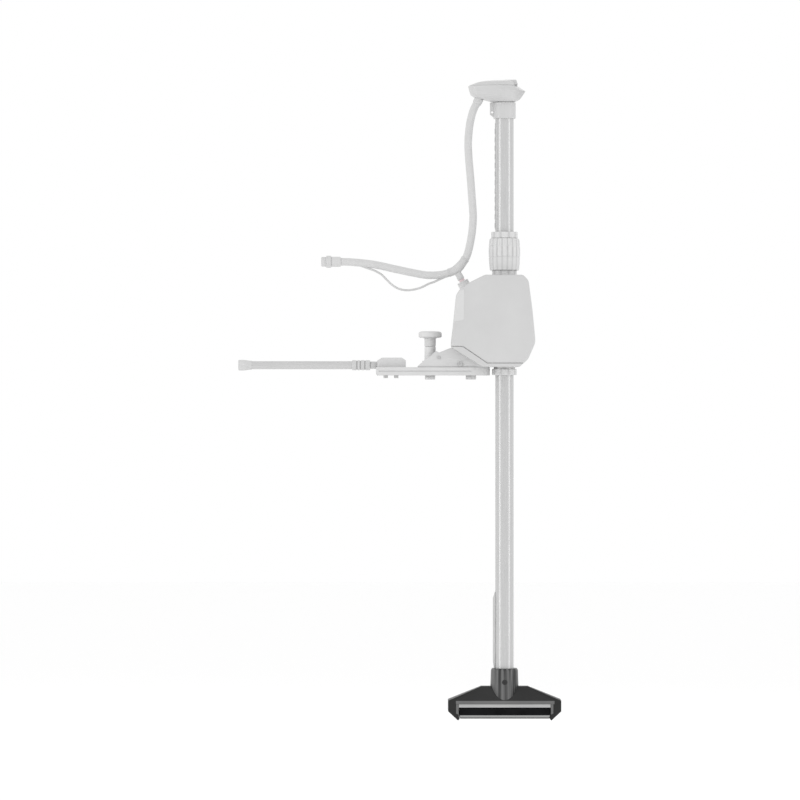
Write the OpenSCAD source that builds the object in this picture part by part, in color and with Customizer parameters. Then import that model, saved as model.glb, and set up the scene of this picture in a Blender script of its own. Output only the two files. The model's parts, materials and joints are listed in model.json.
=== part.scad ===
// Trolling motor: a motor-steered pole with a wide sonar foot at the bottom and
// a fixed head on top. A gearbox clamped round the pole turns it, a fluted nut
// sets the depth, and a swing mount with a pull knob carries the whole unit.
// Millimetres. Z is up, X runs outboard along the mount plate, the underside
// of the plate is Z = 0 and X = 0 is midway between the two hex bolts.

/* [Mount plate] */
// Length of the plate inboard of the middle of the two bolts
plate_left = 153.5; // [150:0.5:175]
// Thickness of the plate
plate_t = 17; // [16.5:0.1:17]
// Width of the plate, which is also the diameter of its round end
plate_w = 78; // [72:1:80]
// Distance between the two hex bolts
bolt_gap = 84; // [80:0.5:86]
// Diameter of the four deck bolt holes
deck_hole = 8.5; // [6.5:0.1:10]
// Length of the deck bolt pattern
deck_long = 80; // [70:1:84]
// Width of the deck bolt pattern
deck_wide = 56; // [48:1:58]

/* [Stay rod] */
// Height of the rod centre line over the plate underside
rod_z = 21.2; // [21:0.1:22]
// Diameter of the inner rod
rod_d = 13; // [10:0.1:13.2]
// Outside diameter of the sliding tube
rod_tube_d = 16.8; // [16.4:0.1:18]
// Wall of the sliding tube
rod_tube_wall = 1.6; // [1:0.1:1.6]
// Distance from the bolt middle to the free end of the rubber cap
rod_reach = 437; // [380:1:520]

/* [Pull knob] */
// Diameter of the mushroom head
knob_d = 48.4; // [36:0.2:56]
// Diameter of the knob skirt and of the sleeve under it
knob_stem_d = 23.2; // [22:0.1:25]
// Top of the knob over the plate underside
knob_top = 91.5; // [88:0.5:100]
// Diameter of the plunger
plunger_d = 10; // [8:0.1:11]

/* [Pole] */
// Outside diameter of the pole tube
tube_d = 38.1; // [36:0.1:38.2]
// Wall of the pole tube
tube_wall = 3; // [2:0.1:5]
// Distance from the swing bolt to the pole axis
pole_reach = 69.1; // [68.5:0.1:70]
// Lower edge of the neck of the head over the plate underside
neck_z = 528.8; // [480:0.2:640]
// Top edge of the foot collar under the plate underside
foot_drop = 602.8; // [500:0.2:800]
// Width of the bolt-on fairing strip
strip_w = 10; // [6:0.5:14]

/* [Gear housing] */
// Width of the housing across the pole
house_w = 130; // [126:1:160]
// Wall of the housing
house_wall = 4; // [3:0.1:4.5]
// Clear bore of the steering sleeve less the pole diameter
pole_slip = 0.6; // [0.4:0.05:0.8]
// Outside diameter of the steering sleeve
sleeve_d = 44; // [43.6:0.1:44.4]
// Teeth on the main steering gear
main_teeth = 56; // [56:1:56]
// Teeth on the small gear that drives it
small_teeth = 14; // [14:1:14]
// Teeth on the wheel of the compound gear
wheel_teeth = 48; // [48:1:48]
// Teeth on the motor pinion
pinion_teeth = 12; // [12:1:12]
// Diameter of the steering motor
motor_d = 35; // [28:0.5:35]

/* [Depth nut] */
// Widest diameter of the fluted nut
nut_d = 65.5; // [62:0.5:70]
// Number of finger flutes
nut_flutes = 18; // [12:1:20]
// Diameter of the neck ring under the nut
neck_ring_d = 52.3; // [50:0.1:58]
// Diameter of the ring over the nut
top_ring_d = 56.4; // [50:0.1:64]

/* [Head] */
// Width of the head across the pole
head_w = 86; // [84:1:88]
// Wall of the head shells
head_wall = 2.6; // [2:0.1:3]
// Diameter of the neck
neck_d = 46.6; // [44.5:0.1:50]
// Diameter of the lanyard hole in the neck lug
lug_hole = 4.6; // [3:0.1:5]

/* [Foot] */
// Depth of the foot across its long side
foot_w = 58; // [50:1:64]
// Diameter of the foot collar at its top
collar_d = 55; // [52:0.5:57]

/* [Cords] */
// Outside diameter of the conduit and of the harness
conduit_d = 16; // [12:0.5:16.5]
// Diameter of the thin cable clipped under the harness
thin_d = 4; // [4:0.1:5]

/* [Hidden] */
$fn = 96;
// running gap between parts that move past one another
slip = 0.3;
// gap between fixed parts that are fitted into one another
fit = 0.05;
bolt_x = bolt_gap / 2;
pole_x = bolt_x + pole_reach;
tube_r = tube_d / 2;
bore_r = (tube_d + pole_slip) / 2;
sleeve_r = sleeve_d / 2;
head_lift = neck_z - 528.8;
foot_lift = 602.8 - foot_drop;
hw = house_w / 2;
fw = foot_w / 2;
roof = fw - 16.4;
deck_mid = -bolt_x;
spot_d = 25.4;
spot_h = 0.5;
// rack that indexes the pole in its key slot
rack_w = 6;
rack_out = 1.2;
key_w = rack_w + 1;
key_r = tube_r + rack_out + 0.5;
rack_top = neck_z - 8.8;
rack_bottom = 300;
// gear layout: modules, centre distances and the places of the shafts
main_mod = 1.5;
fast_mod = 1;
mesh_a = main_mod * (main_teeth + small_teeth) / 2;
mesh_b = fast_mod * (wheel_teeth + pinion_teeth) / 2;
lay_a = 155;
shaft_x = pole_x + mesh_a * cos(lay_a);
shaft_y = mesh_a * sin(lay_a);
motor_x = shaft_x - mesh_b;
motor_y = shaft_y;

// a flat shape given in X and Z, pulled along Y from y0 to y1
module along_y(y0, y1) {
    translate([0, y1, 0]) rotate([90, 0, 0]) linear_extrude(y1 - y0) children();
}
// a cylinder along X from x0 to x1
module rod_x(x0, x1, d, z) {
    translate([x0, 0, z]) rotate([0, 90, 0]) cylinder(d = d, h = x1 - x0);
}
// a cylinder along Y from y0 to y1
module rod_y(x, z, d, y0, y1) {
    translate([x, y1, z]) rotate([90, 0, 0]) cylinder(d = d, h = y1 - y0);
}
// a ring round the pole axis
module pole_ring(ro, ri, z0, z1) {
    translate([pole_x, 0, 0]) difference() {
        translate([0, 0, z0]) cylinder(r = ro, h = z1 - z0);
        translate([0, 0, z0 - 1]) cylinder(r = ri, h = z1 - z0 + 2);
    }
}
// the slot that lets the rack slide through, on the inboard side of the axis
module key_slot(z0, z1) {
    translate([pole_x - key_r, -key_w / 2, z0]) cube([key_r, key_w, z1 - z0]);
}
// hex bar across the flats af
module hex_bar(af, h) {
    rotate([0, 0, 30]) cylinder(d = af / cos(30), h = h, $fn = 6);
}

// involute tooth outline
function inv_deg(c) = tan(c) * 180 / PI - c;
function flank(rb, rp, half, r) = half + inv_deg(acos(rb / rp)) - inv_deg(acos(min(1, rb / r)));
function gear_points(teeth, mod, lash) =
    let (rp = teeth * mod / 2, rb = rp * cos(25), ra = rp + 0.95 * mod, rf = rp - 1.25 * mod,
         half = 90 / teeth - lash, low = max(rb, rf + 0.01),
         rr = [rf, low, low + (ra - low) * 0.3, low + (ra - low) * 0.55, low + (ra - low) * 0.8, ra])
    [for (i = [0:teeth - 1]) each concat(
        [for (k = [0:5]) let (a = 360 * i / teeth - flank(rb, rp, half, rr[k])) [rr[k] * cos(a), rr[k] * sin(a)]],
        [for (k = [5:-1:0]) let (a = 360 * i / teeth + flank(rb, rp, half, rr[k])) [rr[k] * cos(a), rr[k] * sin(a)]])];

// a round tube through route points, as one closed solid
function unit(v) = v / norm(v);
function bez(p, n, i, t) =
    let (a = p[max(i - 1, 0)], b = p[i], c = p[i + 1], d = p[min(i + 2, n)])
    0.5 * (2 * b + (c - a) * t + (2 * a - 5 * b + 4 * c - d) * t * t + (3 * b - a - 3 * c + d) * t * t * t);
function route(p, steps) =
    let (n = len(p) - 1)
    concat([for (i = [0:n - 1]) each [for (s = [0:steps - 1]) bez(p, n, i, s / steps)]], [p[n]]);
function tangent(q, i) = unit(q[min(i + 1, len(q) - 1)] - q[max(i - 1, 0)]);
// every route of this part lies in the plane Y = const, so Y is always across it
module tube(q, r, sides) {
    n = len(q);
    pts = [for (i = [0:n - 1]) let (t = tangent(q, i), u = [0, 1, 0], v = unit(cross(t, u)))
        for (k = [0:sides - 1]) let (a = 360 * k / sides) q[i] + r * (cos(a) * u + sin(a) * v)];
    faces = concat(
        [[for (k = [0:sides - 1]) k]],
        [for (i = [0:n - 2]) for (k = [0:sides - 1])
            let (a = i * sides + k, b = i * sides + (k + 1) % sides)
            each [[a, a + sides, b + sides], [a, b + sides, b]]],
        [[for (k = [sides - 1:-1:0]) (n - 1) * sides + k]]);
    polyhedron(points = pts, faces = faces, convexity = 6);
}

// ---- mount plate and what is fixed to it ----
// Milled bar with a round outboard end; the swing bolt turns in its bush.
module mount_plate() {
    color([0.84, 0.84, 0.85]) difference() {
        linear_extrude(plate_t) union() {
            translate([-plate_left, -plate_w / 2]) square([plate_left + bolt_x, plate_w]);
            translate([bolt_x, 0]) circle(d = plate_w);
        }
        // swing bush bore and the counterbore of its flange
        translate([bolt_x, 0, -1]) cylinder(d = 20 + 2 * fit, h = plate_t + 2);
        translate([bolt_x, 0, plate_t - 2]) cylinder(d = 34 + 2 * fit, h = 3);
        // anchor bolt bore
        translate([-bolt_x, 0, -1]) cylinder(d = 12 + 2 * fit, h = plate_t + 2);
        // spot faces under the heads of the hex bolts and the block screws
        for (x = [-bolt_x, bolt_x]) translate([x, 0, -1]) cylinder(d = spot_d, h = 1 + spot_h);
        for (x = [-133.5, -111.7], y = [-14, 14]) translate([x, y, -1]) cylinder(d = 10.4, h = 1 + spot_h);
        // deck bolts with sunk heads
        for (x = [-1, 1], y = [-1, 1]) translate([deck_mid + x * deck_long / 2, y * deck_wide / 2, 0]) {
            translate([0, 0, -1]) cylinder(d = deck_hole, h = plate_t + 2);
            translate([0, 0, plate_t - 6]) cylinder(d = deck_hole + 6, h = 7);
        }
        // block screws
        for (x = [-133.5, -111.7], y = [-14, 14]) translate([x, y, -1]) cylinder(d = 5 + 2 * fit, h = plate_t + 2);
        // half round relief under the rod
        rod_x(-plate_left - 1, -93, 16, rod_z);
        // side grooves
        for (y = [-plate_w / 2 - 1, plate_w / 2 - 1.4]) translate([-plate_left + 6, y, 7.6]) cube([plate_left + bolt_x - 6, 2.4, 2]);
        // broken lower edge at the inboard end
        translate([-plate_left, -50, 0]) rotate([0, 45, 0]) cube([7, 100, 7], center = true);
        translate([-plate_left, 50, -1]) rotate([90, 0, 0]) cylinder(r = 4, h = 100, $fn = 4);
    }
}
// Flanged bearing bush pressed into the plate for the swing bolt
module pivot_bush() {
    color([0.72, 0.62, 0.42]) translate([bolt_x, 0, 0]) difference() {
        union() {
            translate([0, 0, spot_h]) cylinder(d = 20, h = plate_t - 2 - spot_h);
            translate([0, 0, plate_t - 2]) cylinder(d = 34, h = 2.2);
        }
        translate([0, 0, -1]) cylinder(d = 14.16, h = plate_t + 4);
    }
}
// Hex bolt whose end is the wear face under the plunger
module anchor_bolt() {
    color([0.78, 0.78, 0.8]) translate([-bolt_x, 0, 0]) {
        difference() {
            translate([0, 0, -8.3]) hex_bar(21, 8.3 + spot_h);
            translate([0, 0, -8.3 - 0.01]) difference() {
                cylinder(d = 40, h = 1.6);
                cylinder(d1 = 20.4, d2 = 25, h = 1.7);
            }
        }
        cylinder(d = 12, h = plate_t - 0.4);
    }
}
// Clamp block that carries the stay rod
module rod_block() {
    color([0.82, 0.82, 0.83]) difference() {
        along_y(-20, 20) polygon([[-151, plate_t], [-92, plate_t], [-92, 31], [-100, 36.7], [-141, 36.7], [-151, 30.6]]);
        rod_x(-152, -95.5, rod_d + 2 * fit, rod_z);
        for (x = [-133.5, -111.7], y = [-14, 14]) translate([x, y, plate_t - 1]) cylinder(d = 5 + 2 * fit, h = 13.4);
    }
}
module block_screws() {
    color([0.7, 0.7, 0.72]) for (x = [-133.5, -111.7], y = [-14, 14]) translate([x, y, 0]) {
        translate([0, 0, -5.4]) difference() {
            cylinder(d = 9, h = 5.4 + spot_h);
            translate([0, 0, -1]) hex_bar(4, 3.6);
        }
        cylinder(d = 5, h = 29);
    }
}
// Fixed inner rod with a shoulder where it leaves the block
module inner_rod() {
    color([0.86, 0.86, 0.87]) union() {
        rod_x(-165, -151.05, 15.4, rod_z);
        rod_x(-rod_reach + 47, -96, rod_d, rod_z);
    }
}
// ---- stay rod, slides on the inner rod ----
module rod_tube() {
    color([0.85, 0.85, 0.86]) difference() {
        rod_x(-rod_reach + 12, -190, rod_tube_d, rod_z);
        rod_x(-rod_reach + 11, -189, rod_tube_d - 2 * rod_tube_wall, rod_z);
    }
}
module rod_end_cap() {
    color([0.74, 0.74, 0.75]) translate([-rod_reach, 0, rod_z]) rotate([0, 90, 0]) difference() {
        rotate_extrude() polygon([[0, 0], [10, 0], [11, 1.2], [11, 12], [10.4, 17], [9.4, 22], [9.1, 28], [0, 28]]);
        translate([0, 0, 12]) cylinder(d = rod_tube_d + 2 * fit, h = 30);
    }
}
// Ringed nut that locks the tube on the rod
module rod_lock_nut() {
    color([0.76, 0.76, 0.77]) translate([-203, 0, rod_z]) rotate([0, 90, 0]) difference() {
        rotate_extrude() polygon([[0, 0], [9.4, 0], [10.5, 1.2], [10.5, 8.6], [9.5, 9.2], [9.5, 11.6], [10.5, 12.2],
            [10.5, 15.8], [9.5, 16.4], [9.5, 18.8], [10.5, 19.4], [10.5, 25], [9.5, 25.6], [9.5, 28], [10.5, 28.6],
            [10.5, 36.4], [9.6, 37.7], [0, 37.7]]);
        translate([0, 0, -1]) cylinder(d = rod_tube_d + 2 * slip, h = 14.4);
        translate([0, 0, 1]) cylinder(d = rod_d + 2 * slip + 0.4, h = 40);
    }
}

// ---- swing carrier: everything from here on turns about the swing bolt ----
module pivot_bolt() {
    color([0.78, 0.78, 0.8]) translate([bolt_x, 0, 0]) {
        difference() {
            translate([0, 0, -8.3]) hex_bar(21, 8.5);
            translate([0, 0, -8.3 - 0.01]) difference() {
                cylinder(d = 40, h = 1.6);
                cylinder(d1 = 20.4, d2 = 25, h = 1.7);
            }
        }
        cylinder(d = 14, h = 17.5);
        translate([0, 0, 17]) cylinder(d = 12, h = 11);
    }
}
seat_x0 = 1.7;
function seat_z(x) = 57 - (x - seat_x0) * 39.5 / 63.3;
// Cast wedge under the housing with two side cheeks
module cradle() {
    color([0.83, 0.83, 0.84]) difference() {
        union() {
            for (y = [-36, 26]) along_y(y, y + 10)
                polygon([[-67.6, 17.5], [65, 17.5], [seat_x0, 57], [-1, 56.2], [-23.9, 47.2], [-30.3, 50.5], [-40, 41], [-55, 30.5], [-67.6, 19]]);
            along_y(-27, 27) polygon([[-66, 17.5], [65, 17.5], [9, seat_z(9)], [9, 22], [-24, 22], [-24, 30], [-58, 30], [-58, 26], [-66, 19]]);
        }
        translate([bolt_x, 0, 10]) cylinder(d = 12 + 2 * fit, h = 18.4);
        translate([-bolt_x, 0, 10]) cylinder(d = plunger_d + 0.2, h = 30);
        rod_y(19.2, 23.1, 8 + 2 * fit, -40, 40);
        for (y = [-37, 24]) rod_y(-24, 36.7, 5 + 2 * fit, y, y + 13);
    }
}
// Cross pin of the wedge and the two short screws of its cheeks
module cradle_pins() {
    color([0.7, 0.7, 0.72]) {
        rod_y(19.2, 23.1, 8, -37.5, 37.5);
        for (y = [-38.6, 36]) difference() {
            rod_y(19.2, 23.1, 10.8, y, y + 2.6);
            rod_y(19.2, 23.1, 4.4, y < 0 ? y - 1 : y + 1.6, y < 0 ? y + 1 : y + 3.6);
        }
        for (s = [-1, 1]) {
            rod_y(-24, 36.7, 5, s < 0 ? -36 : 27, s < 0 ? -27 : 36);
            rod_y(-24, 36.7, 7, s < 0 ? -37.6 : 36, s < 0 ? -36 : 37.6);
        }
    }
}
// Guide sleeve of the plunger
module knob_sleeve() {
    color([0.8, 0.8, 0.81]) translate([-bolt_x, 0, 0]) difference() {
        rotate_extrude() polygon([[0, 30], [knob_stem_d / 2, 30], [knob_stem_d / 2, 58.3], [knob_stem_d / 2 - 1, 59.3], [0, 59.3]]);
        translate([0, 0, 29]) cylinder(d = 17, h = 26);
        translate([0, 0, 50]) cylinder(d = plunger_d + 0.2, h = 12);
    }
}
// Return spring, shown as the helix it is
module knob_spring() {
    n = 80;
    r = 6.9;
    w = 0.8;
    z0 = 35.05;
    pitch = 18.9 / 5;
    pts = [for (i = [0:n]) let (a = 360 * 5 * i / n, c = [r * cos(a), r * sin(a), z0 + pitch * 5 * i / n],
            u = [cos(a), sin(a), 0], v = unit([-sin(a) * pitch, cos(a) * pitch, -2 * PI * r]))
        for (k = [0:7]) let (b = 45 * k) c + w * (cos(b) * u + sin(b) * v)];
    faces = concat([[for (k = [7:-1:0]) k]],
        [for (i = [0:n - 1]) for (k = [0:7]) let (a = i * 8 + k, b = i * 8 + (k + 1) % 8) each [[a, b, b + 8], [a, b + 8, a + 8]]],
        [[for (k = [0:7]) n * 8 + k]]);
    color([0.66, 0.66, 0.68]) translate([-bolt_x, 0, 0]) polyhedron(points = pts, faces = faces, convexity = 8);
}
// Plunger with the collar the spring bears on
module plunger_pin() {
    color([0.76, 0.76, 0.78]) translate([-bolt_x, 0, 0]) union() {
        translate([0, 0, plate_t + 0.3]) cylinder(d = plunger_d, h = knob_top - 10.5 - plate_t - 0.3);
        translate([0, 0, 31]) cylinder(d = 16.4, h = 3.2);
    }
}
module pull_knob() {
    color([0.82, 0.82, 0.83]) translate([-bolt_x, 0, 0]) difference() {
        rotate_extrude() polygon([[0, 59.6], [knob_stem_d / 2 - 1, 59.6], [knob_stem_d / 2, 60.6], [knob_stem_d / 2, knob_top - 15.6],
            [knob_stem_d / 2 + 3.4, knob_top - 13.9], [knob_d / 2 - 2.2, knob_top - 13.6], [knob_d / 2, knob_top - 11],
            [knob_d / 2, knob_top - 4.6], [knob_d / 2 - 1.8, knob_top - 1.9], [knob_d / 2 - 6.4, knob_top - 0.3], [0, knob_top]]);
        translate([0, 0, 50]) cylinder(d = plunger_d + 2 * fit, h = knob_top - 60);
    }
}

// ---- gear housing ----
house_line = [[1.9, 58.6], [24.5, 58.6], [74.5, 24.6], [149, 24.6], [158.4, 33.2], [173.5, 67.6], [167.5, 131.4],
    [159.2, 194.7], [147.9, 206], [69.8, 206], [39.8, 191.2], [26, 181], [18.5, 176.3], [11.9, 167], [6, 108], [1.2, 66.5]];
// the port axis leans inboard off the sloping shoulder; s runs out along it
module on_port(s) {
    translate([30.5, 0, 182.5]) rotate([0, -28, 0]) translate([0, 0, s]) children();
}
screw_at = [[19.5, 160.5], [80, 198.4], [147, 198.4], [161.5, 118], [163, 63], [13, 73]];
// one half shell; s is the side it is on
module shell(s) {
    y0 = s < 0 ? -hw : 0;
    difference() {
        union() {
            difference() {
                union() {
                    along_y(s < 0 ? -hw + 5 : 0, s < 0 ? 0 : hw - 5) polygon(house_line);
                    along_y(s < 0 ? -hw : hw - 5, s < 0 ? -hw + 5 : hw) offset(delta = -3.2) polygon(house_line);
                }
                along_y(s < 0 ? -hw + house_wall : -1, s < 0 ? 1 : hw - house_wall) offset(delta = -house_wall) polygon(house_line);
            }
            // bearing boss round the pole, half on each side
            intersection() {
                translate([pole_x, 0, 190]) cylinder(r = 31, h = 14);
                translate([0, y0, 0]) cube([200, hw, 300]);
            }
            // screw bosses
            for (p = screw_at) rod_y(p[0], p[1], 10, s < 0 ? -hw + 2 : 0, s < 0 ? 0 : hw - 2);
        }
        translate([pole_x, 0, 180]) cylinder(r = 25 + fit, h = 40);
        for (p = screw_at) rod_y(p[0], p[1], 4 + 2 * fit, s < 0 ? -hw + 8 : -1, s < 0 ? 1 : hw + 1);
        if (s > 0) for (p = screw_at) rod_y(p[0], p[1], 8.4, hw - 6, hw + 1);
        // recess of the port panel
        along_y(s < 0 ? -hw - 1 : hw - 2, s < 0 ? -hw + 2 : hw + 1)
            polygon([[0, 107], [28, 113], [28, 177], [0, 177]]);
        // opening the closing plate plugs
        along_y(-hw + house_wall, hw - house_wall) polygon([[76, 24], [144.6, 24], [146.8, 29.6], [78.6, 29.6]]);
        // seat of the port boss
        on_port(-12) cylinder(d = 24 + 2 * fit, h = 50);
    }
}
module housing_front() {
    color([0.86, 0.86, 0.87]) difference() {
        union() {
            shell(-1);
            // board posts
            for (x = [70, 146], z = [92, 172]) rod_y(x, z, 8, -hw + 3, -hw + 9);
        }
    }
}
module housing_rear() {
    color([0.85, 0.85, 0.86]) union() {
        shell(1);
        // posts that hold the gear bracket
        for (x = [54, 80]) rod_y(x, 70, 9, hw - 10, hw - 2);
    }
}
// Closing plate under the shells, with the seat of the lower bush
module housing_base() {
    color([0.6, 0.6, 0.62]) difference() {
        union() {
            along_y(-hw, hw) polygon([[1.85, 57], [65.15, 17.5], [141, 17.5], [148.6, 24.5], [74.4, 24.5], [24.4, 58.5], [1.9, 58.5]]);
            // spigot inside the shells
            along_y(-hw + house_wall + 0.4, hw - house_wall - 0.4) polygon([[76.6, 24.4], [144, 24.4], [146, 29], [79, 29]]);
            translate([pole_x, 0, 20]) cylinder(r = 31, h = 14);
        }
        translate([pole_x, 0, 0]) cylinder(r = 25 + fit, h = 60);
    }
}
// Pale panels let into both sides round the port
module port_panel() {
    color([0.9, 0.9, 0.91]) for (s = [-1, 1]) intersection() {
        along_y(s < 0 ? -hw + 0.1 : hw - 1.9, s < 0 ? -hw + 1.9 : hw - 0.1)
            polygon([[0, 107.4], [27.7, 113.4], [27.7, 176], [0, 176]]);
        along_y(-hw, hw) offset(delta = -3.6) polygon(house_line);
    }
}
module cover_screws() {
    color([0.7, 0.7, 0.72]) for (p = screw_at) {
        rod_y(p[0], p[1], 4, -hw + 9, hw - 5.9);
        difference() {
            rod_y(p[0], p[1], 8, hw - 6, hw - 2);
            rod_y(p[0], p[1], 3.6, hw - 4, hw);
        }
    }
}
// The two plain bushes the sleeve turns in, top and bottom
module sleeve_bushes() {
    color([0.9, 0.88, 0.82]) union() {
        pole_ring(25, sleeve_r + 0.1, 190.2, 205.9);
        pole_ring(25, sleeve_r + 0.1, 17.6, 34);
        pole_ring(28, sleeve_r + 0.1, 34.05, 36);
    }
}
// Round receptacle the harness plugs into
module port_boss() {
    color([0.8, 0.8, 0.81]) on_port(0) difference() {
        union() {
            translate([0, 0, -6]) cylinder(d = 24, h = 18);
            translate([0, 0, 12]) cylinder(d1 = 24, d2 = 22, h = 1);
        }
        translate([0, 0, -1]) cylinder(d = 14 + 2 * fit, h = 20);
    }
}
module port_plug() {
    color([0.72, 0.72, 0.73]) on_port(0) union() {
        translate([0, 0, -0.95]) cylinder(d = 14, h = 13.95);
        cylinder(d = 6, h = 17.9);
    }
}
module port_ring() {
    color([0.8, 0.45, 0.45]) on_port(13.05) difference() {
        cylinder(d = 12.6, h = 4.6);
        translate([0, 0, -1]) cylinder(d = 6.1, h = 12);
    }
}
// Driver board on four posts of the front shell
module controller_board() {
    color([0.3, 0.5, 0.35]) union() {
        translate([64, -hw + 9.05, 86]) cube([88, 1.6, 92]);
        translate([72, -hw + 10.6, 100]) cube([30, 12, 22]);
        translate([112, -hw + 10.6, 96]) cube([24, 8, 30]);
        rod_y(84, 150, 16, -hw + 10.6, -hw + 28);
        rod_y(106, 150, 16, -hw + 10.6, -hw + 28);
        rod_y(130, 152, 12, -hw + 10.6, -hw + 22);
    }
}

// ---- gear train ----
module gear_bracket() {
    color([0.7, 0.7, 0.72]) difference() {
        union() {
            // back web
            translate([46, hw - 15, 50]) cube([42, 4.9, 40]);
            // upper arm under the motor
            translate([16, 2, 86]) cube([66, hw - 16, 4]);
            // lower arm under the pinion
            translate([shaft_x - 10, shaft_y - 9, 50]) cube([24, hw - shaft_y - 5, 4]);
        }
        translate([motor_x, motor_y, 80]) cylinder(d = 18, h = 20);
    }
    // axle of the compound gear, pressed into both arms
    color([0.8, 0.8, 0.82]) translate([shaft_x, shaft_y, 50.5]) cylinder(d = 6, h = 39);
}
module motor_body() {
    color([0.55, 0.56, 0.58]) translate([motor_x, motor_y, 0]) difference() {
        union() {
            translate([0, 0, 90.05]) cylinder(d = motor_d, h = 56);
            translate([0, 0, 146]) cylinder(d = motor_d - 8, h = 5);
        }
        translate([0, 0, 89]) cylinder(d = 4.6, h = 40);
    }
}
module motor_pinion() {
    color([0.75, 0.7, 0.5]) translate([motor_x, motor_y, 0]) {
        translate([0, 0, 74.5]) linear_extrude(9) gear_shape(pinion_teeth, fast_mod, pinion_teeth % 2 == 0 ? 180 / pinion_teeth : 0);
        translate([0, 0, 74.5]) cylinder(d = 4, h = 50);
    }
}
module gear_shape(teeth, mod, turn) {
    rotate([0, 0, turn]) polygon(gear_points(teeth, mod, 0.1 / mod * 90 / teeth));
}
// Big wheel driven by the motor, small gear driving the main gear
module compound_gear() {
    color([0.9, 0.88, 0.8]) translate([shaft_x, shaft_y, 0]) difference() {
        union() {
            translate([0, 0, 75]) linear_extrude(8) gear_shape(wheel_teeth, fast_mod, 0);
            translate([0, 0, 57]) linear_extrude(18) gear_shape(small_teeth, main_mod, lay_a + 180 + 180 / small_teeth);
            translate([0, 0, 54.6]) cylinder(d = 14, h = 3);
            translate([0, 0, 82]) cylinder(d = 14, h = 3.4);
        }
        translate([0, 0, 40]) cylinder(d = 6.16, h = 60);
    }
}
// ---- rotor: turns with the pole in the housing ----
module steering_sleeve() {
    color([0.78, 0.78, 0.8]) difference() {
        pole_ring(sleeve_r, bore_r, 0.8, 216.3);
        key_slot(0, 217);
    }
}
module main_gear() {
    color([0.9, 0.88, 0.8]) translate([pole_x, 0, 0]) difference() {
        union() {
            translate([0, 0, 59]) linear_extrude(14) gear_shape(main_teeth, main_mod, lay_a);
            translate([0, 0, 36.4]) cylinder(r = 27, h = 23);
        }
        translate([0, 0, 30]) cylinder(r = sleeve_r + fit, h = 50);
    }
}
module neck_ring() {
    color([0.78, 0.78, 0.79]) pole_ring(neck_ring_d / 2, sleeve_r + fit, 206.3, 216.3);
}
// Slit collet the nut closes on the pole
module collet() {
    color([0.7, 0.7, 0.72]) difference() {
        pole_ring(24.7, bore_r, 216.35, 284);
        key_slot(210, 290);
        for (a = [30:60:330]) translate([pole_x, 0, 0]) rotate([0, 0, a]) translate([15, -1, 232]) cube([14, 2, 60]);
    }
}
module depth_nut() {
    nr = nut_d / 2;
    color([0.82, 0.82, 0.83]) difference() {
        translate([pole_x, 0, 0]) rotate_extrude() polygon([[25, 216.9], [28.45, 216.9], [28.9, 226], [29.75, 234],
            [29.2, 237.4], [30.2, 239], [nr, 244.5], [nr - 0.3, 262], [nr - 1.4, 266], [nr - 1.9, 267.4], [nr - 1.5, 268.6], [30.7, 280.8], [29.6, 282.4], [25, 282.4]]);
        for (k = [0:nut_flutes - 1]) translate([pole_x, 0, 0]) rotate([0, 0, 360 * (k + 0.5) / nut_flutes])
            translate([nr + 1.6, 0, 240]) cylinder(r = 3.4, h = 44, $fn = 32);
    }
}
module top_ring() {
    color([0.8, 0.8, 0.81]) difference() {
        translate([pole_x, 0, 0]) rotate_extrude() polygon([[bore_r, 284.05], [top_ring_d / 2 - 0.8, 284.05], [top_ring_d / 2, 285],
            [top_ring_d / 2, 294.4], [top_ring_d / 2 - 1.2, 295.6], [bore_r, 295.6]]);
        key_slot(280, 300);
    }
}
module lower_collar() {
    color([0.79, 0.79, 0.8]) pole_ring(26, sleeve_r + fit, 0.8, 13.4);
}

// ---- cords and what they end in ----
conduit_r = conduit_d / 2;
// conduit from the gland of the head down to the junction
conduit_route = route([[57.6, 0, 562 + head_lift], [50.6, 0, 540 + head_lift], [40.5, 0, 508 + head_lift], [36.4, 0, 478 + head_lift],
    [37.7, 0, 448 + head_lift / 2], [41.4, 0, 404], [44.5, 0, 361.5], [46.6, 0, 330], [45.3, 0, 303.9], [41.8, 0, 279.1],
    [35.6, 0, 252], [28.8, 0, 237.2]], 3);
// harness from the junction inboard to its connector
harness_route = route([[2.6, 0, 213.2], [-14, 0, 208.6], [-36, 0, 206.4], [-60, 0, 208.2], [-111.2, 0, 218.6],
    [-158.4, 0, 228.7], [-205.8, 0, 233.6], [-232, 0, 234.2]], 4);
// thin cable that leaves the harness and joins it again
thin_route = route([[-16, 0, 197.2], [-24, 0, 196.6], [-34, 0, 192.6], [-44.5, 0, 189], [-60.4, 0, 181.3], [-76, 0, 177], [-91.9, 0, 175.7],
    [-107.5, 0, 179], [-120.3, 0, 186.8], [-131.2, 0, 197], [-142.3, 0, 208], [-154.9, 0, 215.2], [-164, 0, 218.6]], 3);

module head_conduit() {
    color([0.8, 0.8, 0.81]) tube(conduit_route, conduit_r, 12);
}
module harness_tail() {
    color([0.8, 0.8, 0.81]) tube(harness_route, conduit_r, 12);
}
module thin_cable() {
    // lies against the underside of the harness
    color([0.76, 0.76, 0.77]) translate([0, 0, 8 - conduit_r]) tube(thin_route, thin_d / 2, 8);
}
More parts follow.
